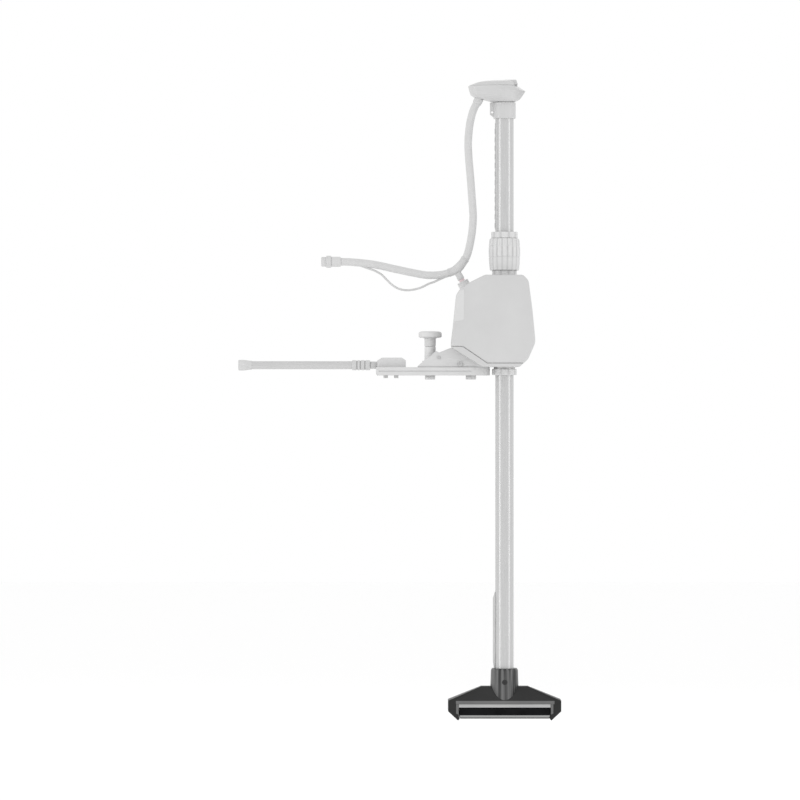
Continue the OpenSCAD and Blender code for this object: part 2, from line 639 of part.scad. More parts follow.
// Moulded boot where the conduit, the harness and the plug lead meet
module junction_boot() {
    color([0.79, 0.79, 0.8]) difference() {
        union() {
            rod_from([30.4, 0, 240.6], [15.4, 0, 220.4], conduit_d + 3);
            translate([15.4, 0, 220.4]) sphere(d = conduit_d + 3.8);
            rod_from([15.4, 0, 220.4], [-3.4, 0, 211.4], conduit_d + 2.4);
            on_port(18) cylinder(d = 15, h = 16);
        }
        rod_from([33.2, 0, 244.4], [24.6, 0, 232.9], conduit_d + 3 * slip);
        rod_from([5.6, 0, 214.4], [-6, 0, 210.4], conduit_d + 2 * slip);
    }
}
module rod_from(a, b, d) {
    v = b - a;
    translate(a) rotate([0, atan2(v[0], v[2]), 0]) cylinder(d = d, h = norm(v));
}
// In line connector of the harness, closed by its screwed dust cap
module tail_connector() {
    color([0.7, 0.7, 0.71]) translate([-232, 0, 234.2]) rotate([0, -90, 0]) difference() {
        union() {
            translate([0, 0, -6]) cylinder(d = conduit_d + 5, h = 24);
            translate([0, 0, 14]) cylinder(d = conduit_d + 9, h = 10);
            translate([0, 0, 24]) cylinder(d = conduit_d + 4, h = 9);
            translate([0, 0, 33]) cylinder(d1 = conduit_d + 4, d2 = conduit_d + 1, h = 1.5);
        }
        translate([0, 0, -7]) cylinder(d = conduit_d + 2 * slip, h = 7.3);
    }
}
// Gland that holds the conduit under the head
module conduit_gland() {
    color([0.74, 0.74, 0.75]) translate([0, 0, head_lift]) difference() {
        rod_from([61.2, 0, 573.5], [56.9, 0, 559.5], 22);
        rod_from([60.9, 0, 572.5], [56, 0, 556.5], conduit_d + 2 * slip);
    }
}

// ---- head: fixed to the conduit side, the pole turns in it ----
head_low = [[36.5, 595.2], [36.3, 589.8], [40.8, 577], [49, 570.5], [62, 566.2], [80, 563.4], [100, 562], [122, 562], [135, 563.4], [143, 567.4], [150, 575.5], [154.5, 584.4],
    [152.4, 588.6], [143.4, 596.6], [38, 596.6]];
head_up = [[40.4, 596.7], [143.2, 596.7], [138, 604.4], [136, 607], [133, 608], [111, 608], [94, 607.7], [77, 606.2],
    [61, 603.4], [51, 601], [41, 597.6]];
// plan outline of the head, shrunk by t
module head_plan(t) {
    big = head_w / 2 - t;
    small = 25 - t;
    a = acos((head_w / 2 - 25) / (pole_x - 61.3));
    translate([pole_x, 0]) circle(r = big);
    translate([61.3, 0]) circle(r = small);
    polygon([[pole_x - big * cos(a), big * sin(a)], [61.3 - small * cos(a), small * sin(a)],
        [61.3 - small * cos(a), -small * sin(a)], [pole_x - big * cos(a), -big * sin(a)], [pole_x, -big * sin(a)], [pole_x, big * sin(a)]]);
}
module head_lower() {
    color([0.85, 0.85, 0.86]) translate([0, 0, head_lift]) difference() {
        intersection() {
            along_y(-60, 60) polygon(head_low);
            translate([0, 0, 560]) linear_extrude(40) head_plan(0);
        }
        intersection() {
            translate([0, 0, 569.5]) along_y(-60, 60) polygon([[35, 8], [49, 4.4], [78, 0], [138, 0], [151.5, 15], [151, 19], [142, 28], [35, 28]]);
            translate([0, 0, 565]) linear_extrude(40) head_plan(head_wall);
        }
        translate([pole_x, 0, 560]) cylinder(r = bore_r, h = 20);
        rod_from([61.9, 0, 575.8], [57.6, 0, 561.7], 22 + 2 * fit);
    }
}
module head_cover() {
    color([0.87, 0.87, 0.88]) translate([0, 0, head_lift]) difference() {
        intersection() {
            along_y(-60, 60) polygon(head_up);
            translate([0, 0, 580]) linear_extrude(40) head_plan(4);
        }
        intersection() {
            along_y(-60, 60) polygon([[50, 596], [140, 596], [135.4, 603], [133, 605], [111, 605], [94, 604.7], [77, 602.8], [61, 599.4]]);
            translate([0, 0, 580]) linear_extrude(40) head_plan(4 + head_wall);
        }
        // grip ribs of the raised block
        for (z = [598.6, 601.8, 605]) for (y = [-60, 28]) translate([113, y, z]) cube([20, 32, 1.2]);
    }
}
// Neck under the head with the lanyard lug
module neck_collar() {
    color([0.83, 0.83, 0.84]) translate([0, 0, head_lift]) difference() {
        union() {
            translate([pole_x, 0, 528.8]) cylinder(d1 = neck_d - 1.6, d2 = neck_d, h = 2);
            translate([pole_x, 0, 530.8]) cylinder(d = neck_d, h = 31.1);
            along_y(-5, 5) polygon([[96, 529.5], [91, 529.5], [81.3, 537.5], [81.3, 561.8], [96, 561.8]]);
        }
        translate([pole_x, 0, 520]) cylinder(r = bore_r, h = 60);
        rod_y(86, 542, lug_hole, -8, 8);
    }
}
// Thrust ring the pole cap runs on
module head_bearing() {
    color([0.9, 0.88, 0.82]) translate([0, 0, head_lift]) difference() {
        translate([pole_x, 0, 569.55]) cylinder(r = 26, h = 8);
        translate([pole_x, 0, 560]) cylinder(r = bore_r, h = 20);
    }
}
// ---- pole: turns in the head and slides through the rotor ----
module pole_tube() {
    color([0.83, 0.83, 0.84]) translate([pole_x, 0, 0]) difference() {
        translate([0, 0, -foot_drop - 33]) cylinder(d = tube_d, h = foot_drop + 33 + 578 + head_lift);
        translate([0, 0, -foot_drop - 34]) cylinder(d = tube_d - 2 * tube_wall, h = foot_drop + 35 + 579 + head_lift);
    }
}
// Toothed index strip bonded to the tube
module depth_rack() {
    color([0.8, 0.8, 0.81]) difference() {
        translate([pole_x - tube_r - 0.5, -rack_w / 2, rack_bottom]) union() {
            cube([3, rack_w, rack_top - rack_bottom]);
            for (z = [4:17.6:rack_top - rack_bottom - 8]) translate([0.5 - rack_out, 0, z]) cube([2, rack_w, 10.6]);
        }
        translate([pole_x, 0, rack_bottom - 1]) cylinder(r = tube_r + 0.02, h = rack_top - rack_bottom + 2);
    }
}
// Fairing strip low on the tube, pointed at its top
module fairing_strip() {
    color([0.76, 0.76, 0.77]) difference() {
        along_y(-strip_w / 2, strip_w / 2) polygon([[pole_x - tube_r + 2.6, -443.5], [pole_x - tube_r - 1, -446], [pole_x - tube_r - 4.8, -459],
            [pole_x - tube_r - 4.8, -foot_drop + 14], [pole_x - tube_r - 2.6, -foot_drop + 1], [pole_x - tube_r + 2.6, -foot_drop + 1]]);
        translate([pole_x, 0, -foot_drop]) cylinder(r = tube_r + 0.02, h = foot_drop - 402.8);
    }
}
// Cap that hangs the pole on its thrust ring
module pole_cap() {
    color([0.7, 0.7, 0.72]) translate([pole_x, 0, head_lift]) difference() {
        union() {
            translate([0, 0, 578.05]) cylinder(d = 50, h = 5);
            translate([0, 0, 560]) cylinder(d = tube_d - 2 * tube_wall - 2 * fit, h = 20);
        }
        translate([0, 0, 550]) cylinder(d = 8.1, h = 40);
    }
}
// Sonar lead down the inside of the tube
module pole_cable() {
    color([0.25, 0.25, 0.27]) translate([pole_x, 0, 0]) {
        translate([0, 0, -foot_drop - 68]) cylinder(d = 8, h = foot_drop + 68 + 589 + head_lift);
        for (z = [-450:300:450]) translate([0, 0, z]) cylinder(d = tube_d - 2 * tube_wall - 0.2, h = 12);
    }
}

// ---- foot ----
// cross section of the foot, given in Y and Z, pulled along X; g is extra room all round
module along_x(x0, x1) {
    translate([x0, 0, 0]) rotate([90, 0, 90]) linear_extrude(x1 - x0) children();
}
module foot_section(g) {
    polygon([[-roof - g, -639.65 + g], [roof + g, -639.65 + g], [fw + g, -667], [fw + g, -720], [-fw - g, -720], [-fw - g, -667]]);
}
module foot_collar() {
    color([0.2, 0.2, 0.21]) translate([0, 0, foot_lift]) difference() {
        // the cone runs on down over the sloping faces of the body
        translate([pole_x, 0, 0]) rotate_extrude() polygon([[0, -667.4], [fw, -667.4], [fw, -639.6], [collar_d / 2 + 0.4, -606.6], [collar_d / 2 - 1.6, -602.8], [0, -602.8]]);
        along_x(0, 250) foot_section(0.1);
        translate([pole_x, 0, -foot_drop - foot_lift - 33.1]) cylinder(r = tube_r + fit, h = 60);
        translate([pole_x, 0, -641]) cylinder(d = 8.2, h = 20);
        rod_y(pole_x, -630.4, 8 + 2 * fit, -33, -10);
        rod_y(pole_x, -630.4, 11 + 2 * fit, -40, -25);
    }
}
body_line = [[62.6, -639.65], [159.2, -639.65], [166, -642.9], [170, -646.6], [213, -668.2], [213, -675.4], [9, -675.4], [9, -668.2], [52, -646.6], [56, -642.9]];
module foot_body() {
    color([0.12, 0.12, 0.13]) translate([0, 0, foot_lift]) difference() {
        intersection() {
            along_y(-fw, fw) polygon(body_line);
            along_x(0, 250) foot_section(0);
        }
        // hollow over the sonar elements
        along_y(-fw + 8, fw - 8) polygon([[30, -676], [192, -676], [192, -668], [182, -663], [40, -663], [30, -668]]);
        translate([pole_x, 0, -664]) cylinder(d = 8.2, h = 34);
        // cap screw holes
        for (s = [-1, 1]) on_slope(s) translate([0, 0, -9]) cylinder(d = 4 + 2 * fit, h = 20);
        // rail screw holes
        for (x = [26, 196.2], y = [-fw + 9, fw - 9]) translate([x, y, -677]) cylinder(d = 3 + 2 * fit, h = 7);
    }
}
// the sloping shoulder, s says which end; z runs out of it
module on_slope(s) {
    translate([pole_x + s * 80, 0, -652.8]) rotate([0, s * 25, 0]) children();
}
function mirror_x(p) = [for (q = p) [2 * pole_x - q[0], q[1]]];
cap_line = [[166.1, -642.5], [227.2, -668], [227.2, -690], [207, -708.8], [203.6, -705.4], [205.6, -696], [205.6, -675.7], [213.2, -675.7], [213.2, -668.05], [170.1, -646.4]];
module foot_cap(s) {
    translate([0, 0, foot_lift]) difference() {
        intersection() {
            along_y(-fw, fw) polygon(s > 0 ? cap_line : mirror_x(cap_line));
            along_x(-50, 300) foot_section(0);
        }
        on_slope(s) translate([0, 0, -12]) cylinder(d = 4 + 2 * fit, h = 24);
        on_slope(s) translate([0, 0, -1.6]) cylinder(d = 8 + 2 * fit, h = 12);
    }
}
module foot_end_caps() {
    color([0.16, 0.16, 0.17]) for (s = [-1, 1]) foot_cap(s);
}
// Bright rail that clamps the window to the body
module foot_rail() {
    color([0.6, 0.6, 0.62]) translate([0, 0, foot_lift]) difference() {
        along_y(-fw + 0.4, fw - 0.4) polygon([[17, -675.5], [205.2, -675.5], [205.2, -682], [17, -682]]);
        along_y(-fw + 13, fw - 13) polygon([[34, -670], [188, -670], [188, -690], [34, -690]]);
        for (x = [26, 196.2], y = [-fw + 9, fw - 9]) translate([x, y, -690]) cylinder(d = 3 + 2 * fit, h = 20);
    }
}
// Glossy cup under the sonar elements
module foot_window() {
    color([0.05, 0.05, 0.06]) translate([0, 0, foot_lift]) difference() {
        along_y(-fw + 2, fw - 2) polygon([[17.2, -682.1], [205, -682.1], [205, -698], [203, -705], [19.2, -705], [17.2, -698]]);
        along_y(-fw + 6, fw - 6) polygon([[21, -681], [201.2, -681], [201.2, -698], [199, -701.6], [23.2, -701.6], [21, -698]]);
    }
}
// Three sonar element blocks on their carrier
module foot_array() {
    color([0.45, 0.42, 0.3]) translate([0, 0, foot_lift]) {
        translate([26, -fw + 10, -701.5]) cube([170, 2 * fw - 20, 3]);
        for (x = [32, 88, 144]) translate([x, -fw + 16, -698.6]) cube([46, 2 * fw - 32, 14]);
    }
}
// Set screw of the collar, cap screws and rail screws
module foot_screws() {
    color([0.35, 0.35, 0.36]) translate([0, 0, foot_lift]) {
        difference() {
            union() {
                rod_y(pole_x, -630.4, 11, -28.6, -25.1);
                rod_y(pole_x, -630.4, 8, -26, -tube_r - 0.1);
            }
            rod_y(pole_x, -630.4, 5, -30, -27);
        }
        for (s = [-1, 1]) on_slope(s) difference() {
            union() {
                translate([0, 0, -1.55]) cylinder(d = 8, h = 1.5);
                translate([0, 0, -8]) cylinder(d = 4, h = 7);
            }
            translate([0, 0, -0.9]) hex_bar(3, 2);
        }
        for (x = [26, 196.2], y = [-fw + 9, fw - 9]) translate([x, y, 0]) {
            translate([0, 0, -682.05]) cylinder(d = 3, h = 11);
        }
    }
}

mount_plate();
pivot_bush();
anchor_bolt();
rod_block();
block_screws();
inner_rod();
rod_tube();
rod_end_cap();
rod_lock_nut();
pivot_bolt();
cradle();
cradle_pins();
knob_sleeve();
knob_spring();
plunger_pin();
pull_knob();
housing_front();
housing_rear();
housing_base();
port_panel();
cover_screws();
sleeve_bushes();
port_boss();
port_plug();
port_ring();
controller_board();
gear_bracket();
motor_body();
motor_pinion();
compound_gear();
steering_sleeve();
main_gear();
neck_ring();
collet();
depth_nut();
top_ring();
lower_collar();
junction_boot();
head_conduit();
harness_tail();
tail_connector();
thin_cable();
conduit_gland();
head_lower();
head_cover();
neck_collar();
head_bearing();
pole_tube();
depth_rack();
fairing_strip();
pole_cap();
pole_cable();
foot_collar();
foot_body();
foot_end_caps();
foot_rail();
foot_window();
foot_array();
foot_screws();
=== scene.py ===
# %% [markdown]
# # A trolling motor, piece by piece
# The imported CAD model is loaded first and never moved. It already holds every hole, bore and joint at its
# true size, so the work here is the visible skin: rounded shells, knurled and fluted grips, braided conduit
# and the finish of every surface. All lengths are metres; Z is up and X runs outboard along the mount.

# %% Load the frame
import json
import math
import bpy
import numpy as np
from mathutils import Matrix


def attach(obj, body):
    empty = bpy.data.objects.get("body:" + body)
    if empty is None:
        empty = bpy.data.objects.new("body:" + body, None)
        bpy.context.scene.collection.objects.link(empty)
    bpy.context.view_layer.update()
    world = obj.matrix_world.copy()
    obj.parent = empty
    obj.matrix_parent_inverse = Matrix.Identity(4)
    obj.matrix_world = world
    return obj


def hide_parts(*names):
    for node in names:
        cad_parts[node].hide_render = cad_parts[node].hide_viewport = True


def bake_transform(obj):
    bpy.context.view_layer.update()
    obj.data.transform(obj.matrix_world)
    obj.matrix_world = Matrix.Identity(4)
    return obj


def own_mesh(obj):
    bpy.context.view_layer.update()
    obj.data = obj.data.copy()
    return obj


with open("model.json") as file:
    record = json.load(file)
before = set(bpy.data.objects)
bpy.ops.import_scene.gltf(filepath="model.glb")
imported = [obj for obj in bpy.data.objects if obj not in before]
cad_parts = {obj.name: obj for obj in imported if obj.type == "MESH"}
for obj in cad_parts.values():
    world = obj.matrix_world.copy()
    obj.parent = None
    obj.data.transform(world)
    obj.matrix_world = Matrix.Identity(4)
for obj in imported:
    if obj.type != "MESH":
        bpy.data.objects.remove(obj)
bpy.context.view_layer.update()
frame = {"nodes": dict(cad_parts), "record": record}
MM = 0.001

# %% [markdown]
# ## Camera
# The object is looked at square on from its side. A long lens far away gives a picture with almost no
# perspective, as a catalogue view has, so the tube keeps one width from head to foot.

# %% Camera
camera_data = bpy.data.cameras.new("side_camera")
camera_data.lens = 200
camera_data.sensor_width = 36
camera_data.clip_end = 60
camera = bpy.data.objects.new("side_camera", camera_data)
bpy.context.scene.collection.objects.link(camera)
picture_width = 1.648
picture_middle = (-0.104, -0.0505)
stand_off = picture_width * camera_data.lens / camera_data.sensor_width
camera.location = (picture_middle[0], -stand_off, picture_middle[1])
camera.rotation_euler = (math.radians(90), 0, 0)
bpy.context.scene.camera = camera
print("camera stands off", round(stand_off, 2))

# %% [markdown]
# ## Floor and light
# A white world lights everything evenly, which suits a pale object on white. Two tall soft strips stand 60
# degrees to the left and right of the lens. A tube mirrors each as one upright streak half way between its
# middle and its edge, which is how a satin tube shows that it is round. The floor lies well below the foot,
# because the unit hangs from its mount.

# %% Floor and soft lamps
def floor_plane(height, half):
    """A flat square at one height: x and y run from -half to half."""
    x, y = np.meshgrid([-half, half], [-half, half])
    points = np.stack([x, y, np.full_like(x, height)], -1).reshape(-1, 3)
    mesh = bpy.data.meshes.new("studio_floor")
    mesh.from_pydata(points.tolist(), [], [(0, 1, 3, 2)])
    floor = bpy.data.objects.new("studio_floor", mesh)
    bpy.context.scene.collection.objects.link(floor)
    return floor

floor = floor_plane(-1.15, 14)
paper = bpy.data.materials.new("studio_paper")
paper.use_nodes = True
paper_shader = paper.node_tree.nodes["Principled BSDF"]
paper_shader.inputs["Base Color"].default_value = (0.99, 0.99, 0.99, 1)
paper_shader.inputs["Roughness"].default_value = 0.95
floor.data.materials.append(paper)

world = bpy.data.worlds.new("studio_white")
world.use_nodes = True
sky = world.node_tree.nodes["Background"]
sky.inputs["Color"].default_value = (1, 1, 1, 1)
sky.inputs["Strength"].default_value = 1.0
bpy.context.scene.world = world
bpy.context.scene.view_settings.view_transform = "Standard"

def soft_lamp(name, place, aim, size, watts):
    """One area lamp of size (across, up) at place that looks at aim."""
    data = bpy.data.lights.new(name, "AREA")
    data.shape = "RECTANGLE"
    data.size, data.size_y, data.energy = *size, watts
    lamp = bpy.data.objects.new(name, data)
    way = np.array(aim, float) - np.array(place, float)
    lamp.location = place
    tilt = math.atan2(math.hypot(way[0], way[1]), -way[2])
    turn = math.atan2(way[1], way[0]) - math.pi / 2
    lamp.rotation_euler = (tilt, 0, turn)
    bpy.context.scene.collection.objects.link(lamp)

soft_lamp("strip_left", (-2.6, -1.5, 0), (0.1, 0, 0), (0.34, 3.4), 17)
soft_lamp("strip_right", (2.8, -1.5, 0), (0.1, 0, 0), (0.34, 3.4), 15)
soft_lamp("rim_back", (1.2, 3.2, 2.4), (0, 0, 0), (2.4, 2.4), 12)

# %% [markdown]
# ## From arrays to meshes
# Every new piece is a grid of points: one index runs along the piece, the other round it. One helper turns
# such grids into a closed mesh object, with fans over the open ends. The signed volume tells whether the
# faces look outwards, and the grid is turned over if they don't.

# %% Grids, caps and objects
def skin(P, cap=True):
    """Grid P[i, j]: i along, j round and closed. Quads join neighbours; a fan to the mean point closes
    each end. Without caps the last row joins the first, which closes a ring.
    """
    n, m, _ = P.shape
    i, j = np.meshgrid(np.arange(n - 1 if cap else n), np.arange(m), indexing="ij")
    k, h = (j + 1) % m, (i + 1) % n
    quads = np.stack([i * m + j, i * m + k, h * m + k, h * m + j], -1).reshape(-1, 4)
    points = P.reshape(-1, 3)
    fans = np.zeros((0, 3), int)
    if cap:
        points = np.vstack([points, P[0].mean(0), P[-1].mean(0)])
        r, s = np.arange(m), (np.arange(m) + 1) % m
        fans = np.vstack([np.stack([s, r, np.full(m, n * m)], -1),
                          np.stack([(n - 1) * m + r, (n - 1) * m + s, np.full(m, n * m + 1)], -1)])
    tris = np.vstack([quads[:, [0, 1, 2]], quads[:, [0, 2, 3]], fans])
    a, b, c = points[tris[:, 0]], points[tris[:, 1]], points[tris[:, 2]]
    if np.einsum("ij,ij->", a, np.cross(b, c)) < 0:
        quads, fans = quads[:, ::-1], fans[:, ::-1]
    return points, quads, fans

def make(name, skins, body, material=None, node=None, smooth=38, uv=None):
    """Puts skins into one mesh object that rides on a body, or on none when body is None. It stands for CAD
    nodes and is smooth below an angle.
    """
    points, faces4, faces3, base = [], [], [], 0
    for p, q, t in skins:
        points.append(p)
        faces4.append(q + base)
        faces3.append(t + base)
        base += len(p)
    points, faces4, faces3 = np.vstack(points), np.vstack(faces4), np.vstack(faces3)
    mesh = bpy.data.meshes.new(name)
    mesh.vertices.add(len(points))
    mesh.vertices.foreach_set("co", points.astype(np.float32).ravel())
    loops = np.concatenate([faces4.ravel(), faces3.ravel()]).astype(np.int32)
    quad_starts = np.arange(len(faces4)) * 4
    triangle_starts = len(faces4) * 4 + np.arange(len(faces3)) * 3
    starts = np.concatenate([quad_starts, triangle_starts]).astype(np.int32)
    mesh.loops.add(len(loops))
    mesh.loops.foreach_set("vertex_index", loops)
    mesh.polygons.add(len(starts))
    mesh.polygons.foreach_set("loop_start", starts)
    mesh.update(calc_edges=True)
    mesh.validate()
    if uv is not None:
        layer = mesh.uv_layers.new(name="along_round")
        index = np.zeros(len(mesh.loops), np.int32)
        mesh.loops.foreach_get("vertex_index", index)
        layer.data.foreach_set("uv", uv[index].astype(np.float32).ravel())
    mesh.shade_smooth()
    mesh.set_sharp_from_angle(angle=math.radians(smooth))
    piece = bpy.data.objects.new(name, mesh)
    bpy.context.scene.collection.objects.link(piece)
    if material:
        mesh.materials.append(material)
    if body:
        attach(piece, body)
    if node:
        nodes = [node] if isinstance(node, str) else list(node)
        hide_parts(*nodes)
    print(name, len(points), "points")
    return piece

slot_of = {s["node"]: s["material_slot"] for s in frame["record"]["subparts"]}

# %% [markdown]
# Three families of surface make almost every piece. A turned part is a profile swept round an axis. A plate
# or shell is an outline carried across the object with its edges rolled over. A cord is a circle carried
# along a curve. Each is written once here as a formula on whole arrays.

# %% Profiles and outlines with rounded corners
def rounded(points, radius, steps=5, closed=True):
    """Each corner C becomes an arc (1-s)^2 A + 2s(1-s) C + s^2 B; A and B lie at the given reach from it."""
    C = np.asarray(points, float)
    before, after = np.roll(C, 1, 0) - C, np.roll(C, -1, 0) - C
    lb, la = np.linalg.norm(before, axis=1), np.linalg.norm(after, axis=1)
    reach = np.minimum(np.broadcast_to(np.asarray(radius, float), lb.shape), 0.45 * np.minimum(lb, la))
    if not closed:
        reach = reach.copy()
        reach[[0, -1]] = 0
    s = np.linspace(0, 1, steps)[None, :, None]
    A = (C + before / lb[:, None] * reach[:, None])[:, None]
    B = (C + after / la[:, None] * reach[:, None])[:, None]
    curve = (1 - s) ** 2 * A + 2 * s * (1 - s) * C[:, None] + s ** 2 * B
    if not closed:
        return np.vstack([C[:1], curve[1:-1].reshape(-1, C.shape[1]), C[-1:]])
    return curve.reshape(-1, C.shape[1])

def distances(path):
    """Distance along the path at each of its points."""
    return np.concatenate([[0], np.cumsum(np.linalg.norm(np.diff(path, axis=0), axis=1))])

def spaced(curve, step, closed=False):
    """Adds points on the straight lines between points, so that none lie further apart than step."""
    P = np.vstack([curve, curve[:1]]) if closed else curve
    d = distances(P)
    keep = np.concatenate([[True], np.diff(d) > 1e-9])
    P, d = P[keep], d[keep]
    t = np.unique(np.concatenate([d, np.linspace(0, d[-1], int(d[-1] / step) + 2)]))
    t = t[np.concatenate([[True], np.diff(t) > 1e-6])]
    Q = np.stack([np.interp(t, d, P[:, k]) for k in range(P.shape[1])], -1)
    return Q[:-1] if closed else Q

# %% Turned parts
def turned(profile, axis, origin, sides=96, wave=None, cap=True):
    """Profile rows (along, radius) swept round an axis: o + along a + r (cos t u + sin t v). wave(t,
    along, r) may change r. With cap=False the profile is a closed loop and the part is a ring.
    """
    a = np.array(axis, float)
    o = np.array(origin, float) * MM
    u = np.cross(a, [0, 1, 0] if abs(a[1]) < 0.9 else [1, 0, 0])
    u /= np.linalg.norm(u)
    v = np.cross(a, u)
    t = np.linspace(0, 2 * np.pi, sides, endpoint=False)[None, :]
    z, r = np.asarray(profile, float)[:, 0:1], np.asarray(profile, float)[:, 1:2]
    R = np.broadcast_to(r, (len(r), sides)) if wave is None else wave(t, z, r)
    outwards = np.cos(t)[..., None] * u + np.sin(t)[..., None] * v
    return skin(o + MM * (z[..., None] * a + R[..., None] * outwards), cap)

# %% Plates and shells
def shrunk(corners, inset):
    """Mitred offset: each corner moves inwards by inset (N1 + N2) / (1 + N1 . N2), where N1 and N2 are the
    outward normals of its two edges."""
    C = np.asarray(corners, float)
    E = np.roll(C, -1, 0) - C
    E /= np.linalg.norm(E, axis=1)[:, None]
    area = np.sum(C[:, 0] * np.roll(C[:, 1], -1) - C[:, 1] * np.roll(C[:, 0], -1))
    N = np.stack([E[:, 1], -E[:, 0]], -1) * np.sign(area)
    M = np.roll(N, 1, 0)
    return C - inset * (N + M) / (1 + np.sum(N * M, axis=1))[:, None]

def plate(corners, radius, y0, y1, roll, crown=0.0, steps=5):
    """Outline (x, z) with rounded corners, carried from y0 to y1. The rim rolls over: the inset is
    roll (1 - sin f) at y = y0 + roll (1 - cos f)."""
    f = np.linspace(0, np.pi / 2, steps)
    inset = np.concatenate([roll * (1 - np.sin(f)), roll * (1 - np.sin(f[::-1]))])
    y = np.concatenate([y0 + roll * (1 - np.cos(f)), y1 - roll * (1 - np.cos(f[::-1]))])
    ring = np.stack([rounded(shrunk(corners, w), radius, 6) for w in inset])
    middle = ring[0].mean(0)
    q = np.array([0.02, 0.3, 0.6, 0.85])
    caps = middle + q[:, None, None] * (ring[0] - middle)[None]
    bulge = crown * (1 - q ** 2)
    ring = np.concatenate([caps, ring, caps[::-1]])
    y = np.concatenate([y0 - bulge, y, y1 + bulge[::-1]])
    P = MM * np.stack([ring[..., 0], np.broadcast_to(y[:, None], ring.shape[:2]), ring[..., 1]], -1)
    return skin(P)

# %% Cords and other swept rounds
def smooth_path(points, steps):
    """Catmull-Rom curve: a cubic on each span, whose slope at a point is that of its two neighbours."""
    p = np.asarray(points, float)
    q = np.vstack([p[:1], p, p[-1:]])
    a, b, c, d = q[:-3, None], q[1:-2, None], q[2:-1, None], q[3:, None]
    t = (np.arange(steps) / steps)[None, :, None]
    second, third = 2 * a - 5 * b + 4 * c - d, 3 * b - a - 3 * c + d
    curve = 0.5 * (2 * b + (c - a) * t + second * t ** 2 + third * t ** 3)
    return np.vstack([curve.reshape(-1, 3), p[-1:]])

def unit_rows(rows):
    """Each row divided by its length."""
    return rows / np.linalg.norm(rows, axis=1)[:, None]

def carried(p, u, radius, sides, wave=None):
    """Circle carried along p: p + r (cos k u + sin k v), v square to u and the path; wave(s, k) adds to r."""
    v = unit_rows(np.cross(unit_rows(np.gradient(p, axis=0)), u))
    k = np.linspace(0, 2 * np.pi, sides, endpoint=False)
    r = np.broadcast_to(np.asarray(radius, float).reshape(-1, 1), (len(p), sides))
    if wave is not None:
        r = r + wave(distances(p)[:, None], k[None, :])
    around = np.cos(k)[None, :, None] * u[:, None] + np.sin(k)[None, :, None] * v[:, None]
    return skin((p[:, None] + r[..., None] * around) * MM)

def swept(path, radius, sides=24, wave=None):
    """A round along a path in a plane of constant y; u points across the plane."""
    p = np.asarray(path, float)
    return carried(p, np.broadcast_to([0.0, 1.0, 0.0], p.shape), radius, sides, wave)

def coiled(path, radius, sides=10):
    """A round along a coil about the Z axis; u is level and square to the path."""
    p = np.asarray(path, float)
    return carried(p, unit_rows(np.cross(unit_rows(np.gradient(p, axis=0)), (0, 0, 1))), radius, sides)

# %% [markdown]
# Parts that are cut or cast to an exact shape, such as the mount plate with its bolt holes, keep their CAD
# shape. A copy is welded, its flat faces are joined, and every sharp edge gets the small radius that a
# deburred, cast or coated edge has. Without it an edge is a knife edge that never catches the light.

# %% Welded copies with broken edges, and bores
def welded(node):
    """Points and triangles of a CAD node; points that agree to a micrometre are merged."""
    mesh = frame["nodes"][node].data
    points = np.zeros(len(mesh.vertices) * 3, np.float32)
    mesh.vertices.foreach_get("co", points)
    mesh.calc_loop_triangles()
    tris = np.zeros(len(mesh.loop_triangles) * 3, np.int32)
    mesh.loop_triangles.foreach_get("vertices", tris)
    rows = np.round(points.reshape(-1, 3).astype(float), 6)
    unique, index = np.unique(rows, axis=0, return_inverse=True)
    tris = index.reshape(-1)[tris].reshape(-1, 3)
    good = (tris[:, 0] != tris[:, 1]) & (tris[:, 1] != tris[:, 2]) & (tris[:, 2] != tris[:, 0])
    return unique, np.zeros((0, 4), int), tris[good]

def smoothed(piece, angle=34):
    """Smooth shading, with a crease where two faces meet at more than the angle."""
    piece.data.shade_smooth()
    piece.data.set_sharp_from_angle(angle=math.radians(angle))

def settled(piece):
    """Replaces a piece's mesh by the one its modifiers give, and removes the modifiers."""
    bpy.context.view_layer.update()
    evaluated = piece.evaluated_get(bpy.context.evaluated_depsgraph_get())
    result = bpy.data.meshes.new_from_object(evaluated)
    piece.modifiers.clear()
    old, piece.data = piece.data, result
    name = old.name
    bpy.data.meshes.remove(old)
    piece.data.name = name

def broken_edges(piece, width, sides=2, angle=28):
    """Joins flat faces, then rounds each edge sharper than the angle with a radius of width millimetres."""
    flat = piece.modifiers.new("join_flats", "DECIMATE")
    flat.decimate_type = "DISSOLVE"
    flat.angle_limit = math.radians(0.4)
    bevel = piece.modifiers.new("edge_radius", "BEVEL")
    bevel.width = width * MM
    bevel.segments = sides
    bevel.limit_method = "ANGLE"
    bevel.angle_limit = math.radians(angle)
    bevel.use_clamp_overlap = True
    bevel.miter_outer = "MITER_ARC"
    settled(piece)
    smoothed(piece)

def softened(name, node, body, width, material, sides=2, angle=28):
    """A welded copy of one CAD node with its edges broken, which stands for that node."""
    piece = make(name, [welded(node)], body, material, node)
    broken_edges(piece, width, sides, angle)
    return piece

def bored(piece, skins):
    """Cuts each closed skin out of the piece, one exact boolean difference after another."""
    for number, cutter in enumerate(skins):
        tool = make(f"cutter_{number}", [cutter], None)
        cut = piece.modifiers.new("cut", "BOOLEAN")
        cut.operation = "DIFFERENCE"
        cut.object = tool
        cut.solver = "EXACT"
        settled(piece)
        used = tool.data
        bpy.data.objects.remove(tool)
        bpy.data.meshes.remove(used)
    smoothed(piece)

# %% [markdown]
# ## Finishes
# Each finish is a small node tree on Object coordinates, so a pattern stays on its piece when it moves.
# Real moulded plastic is never one flat tone: it has fine grain, faint clouding and a slight change of
# gloss. Powder coat has a tiny orange-peel ripple. Brushed metal has long scratches across its length.
# Numbers that hold all over a surface are set on the shader's own sockets.

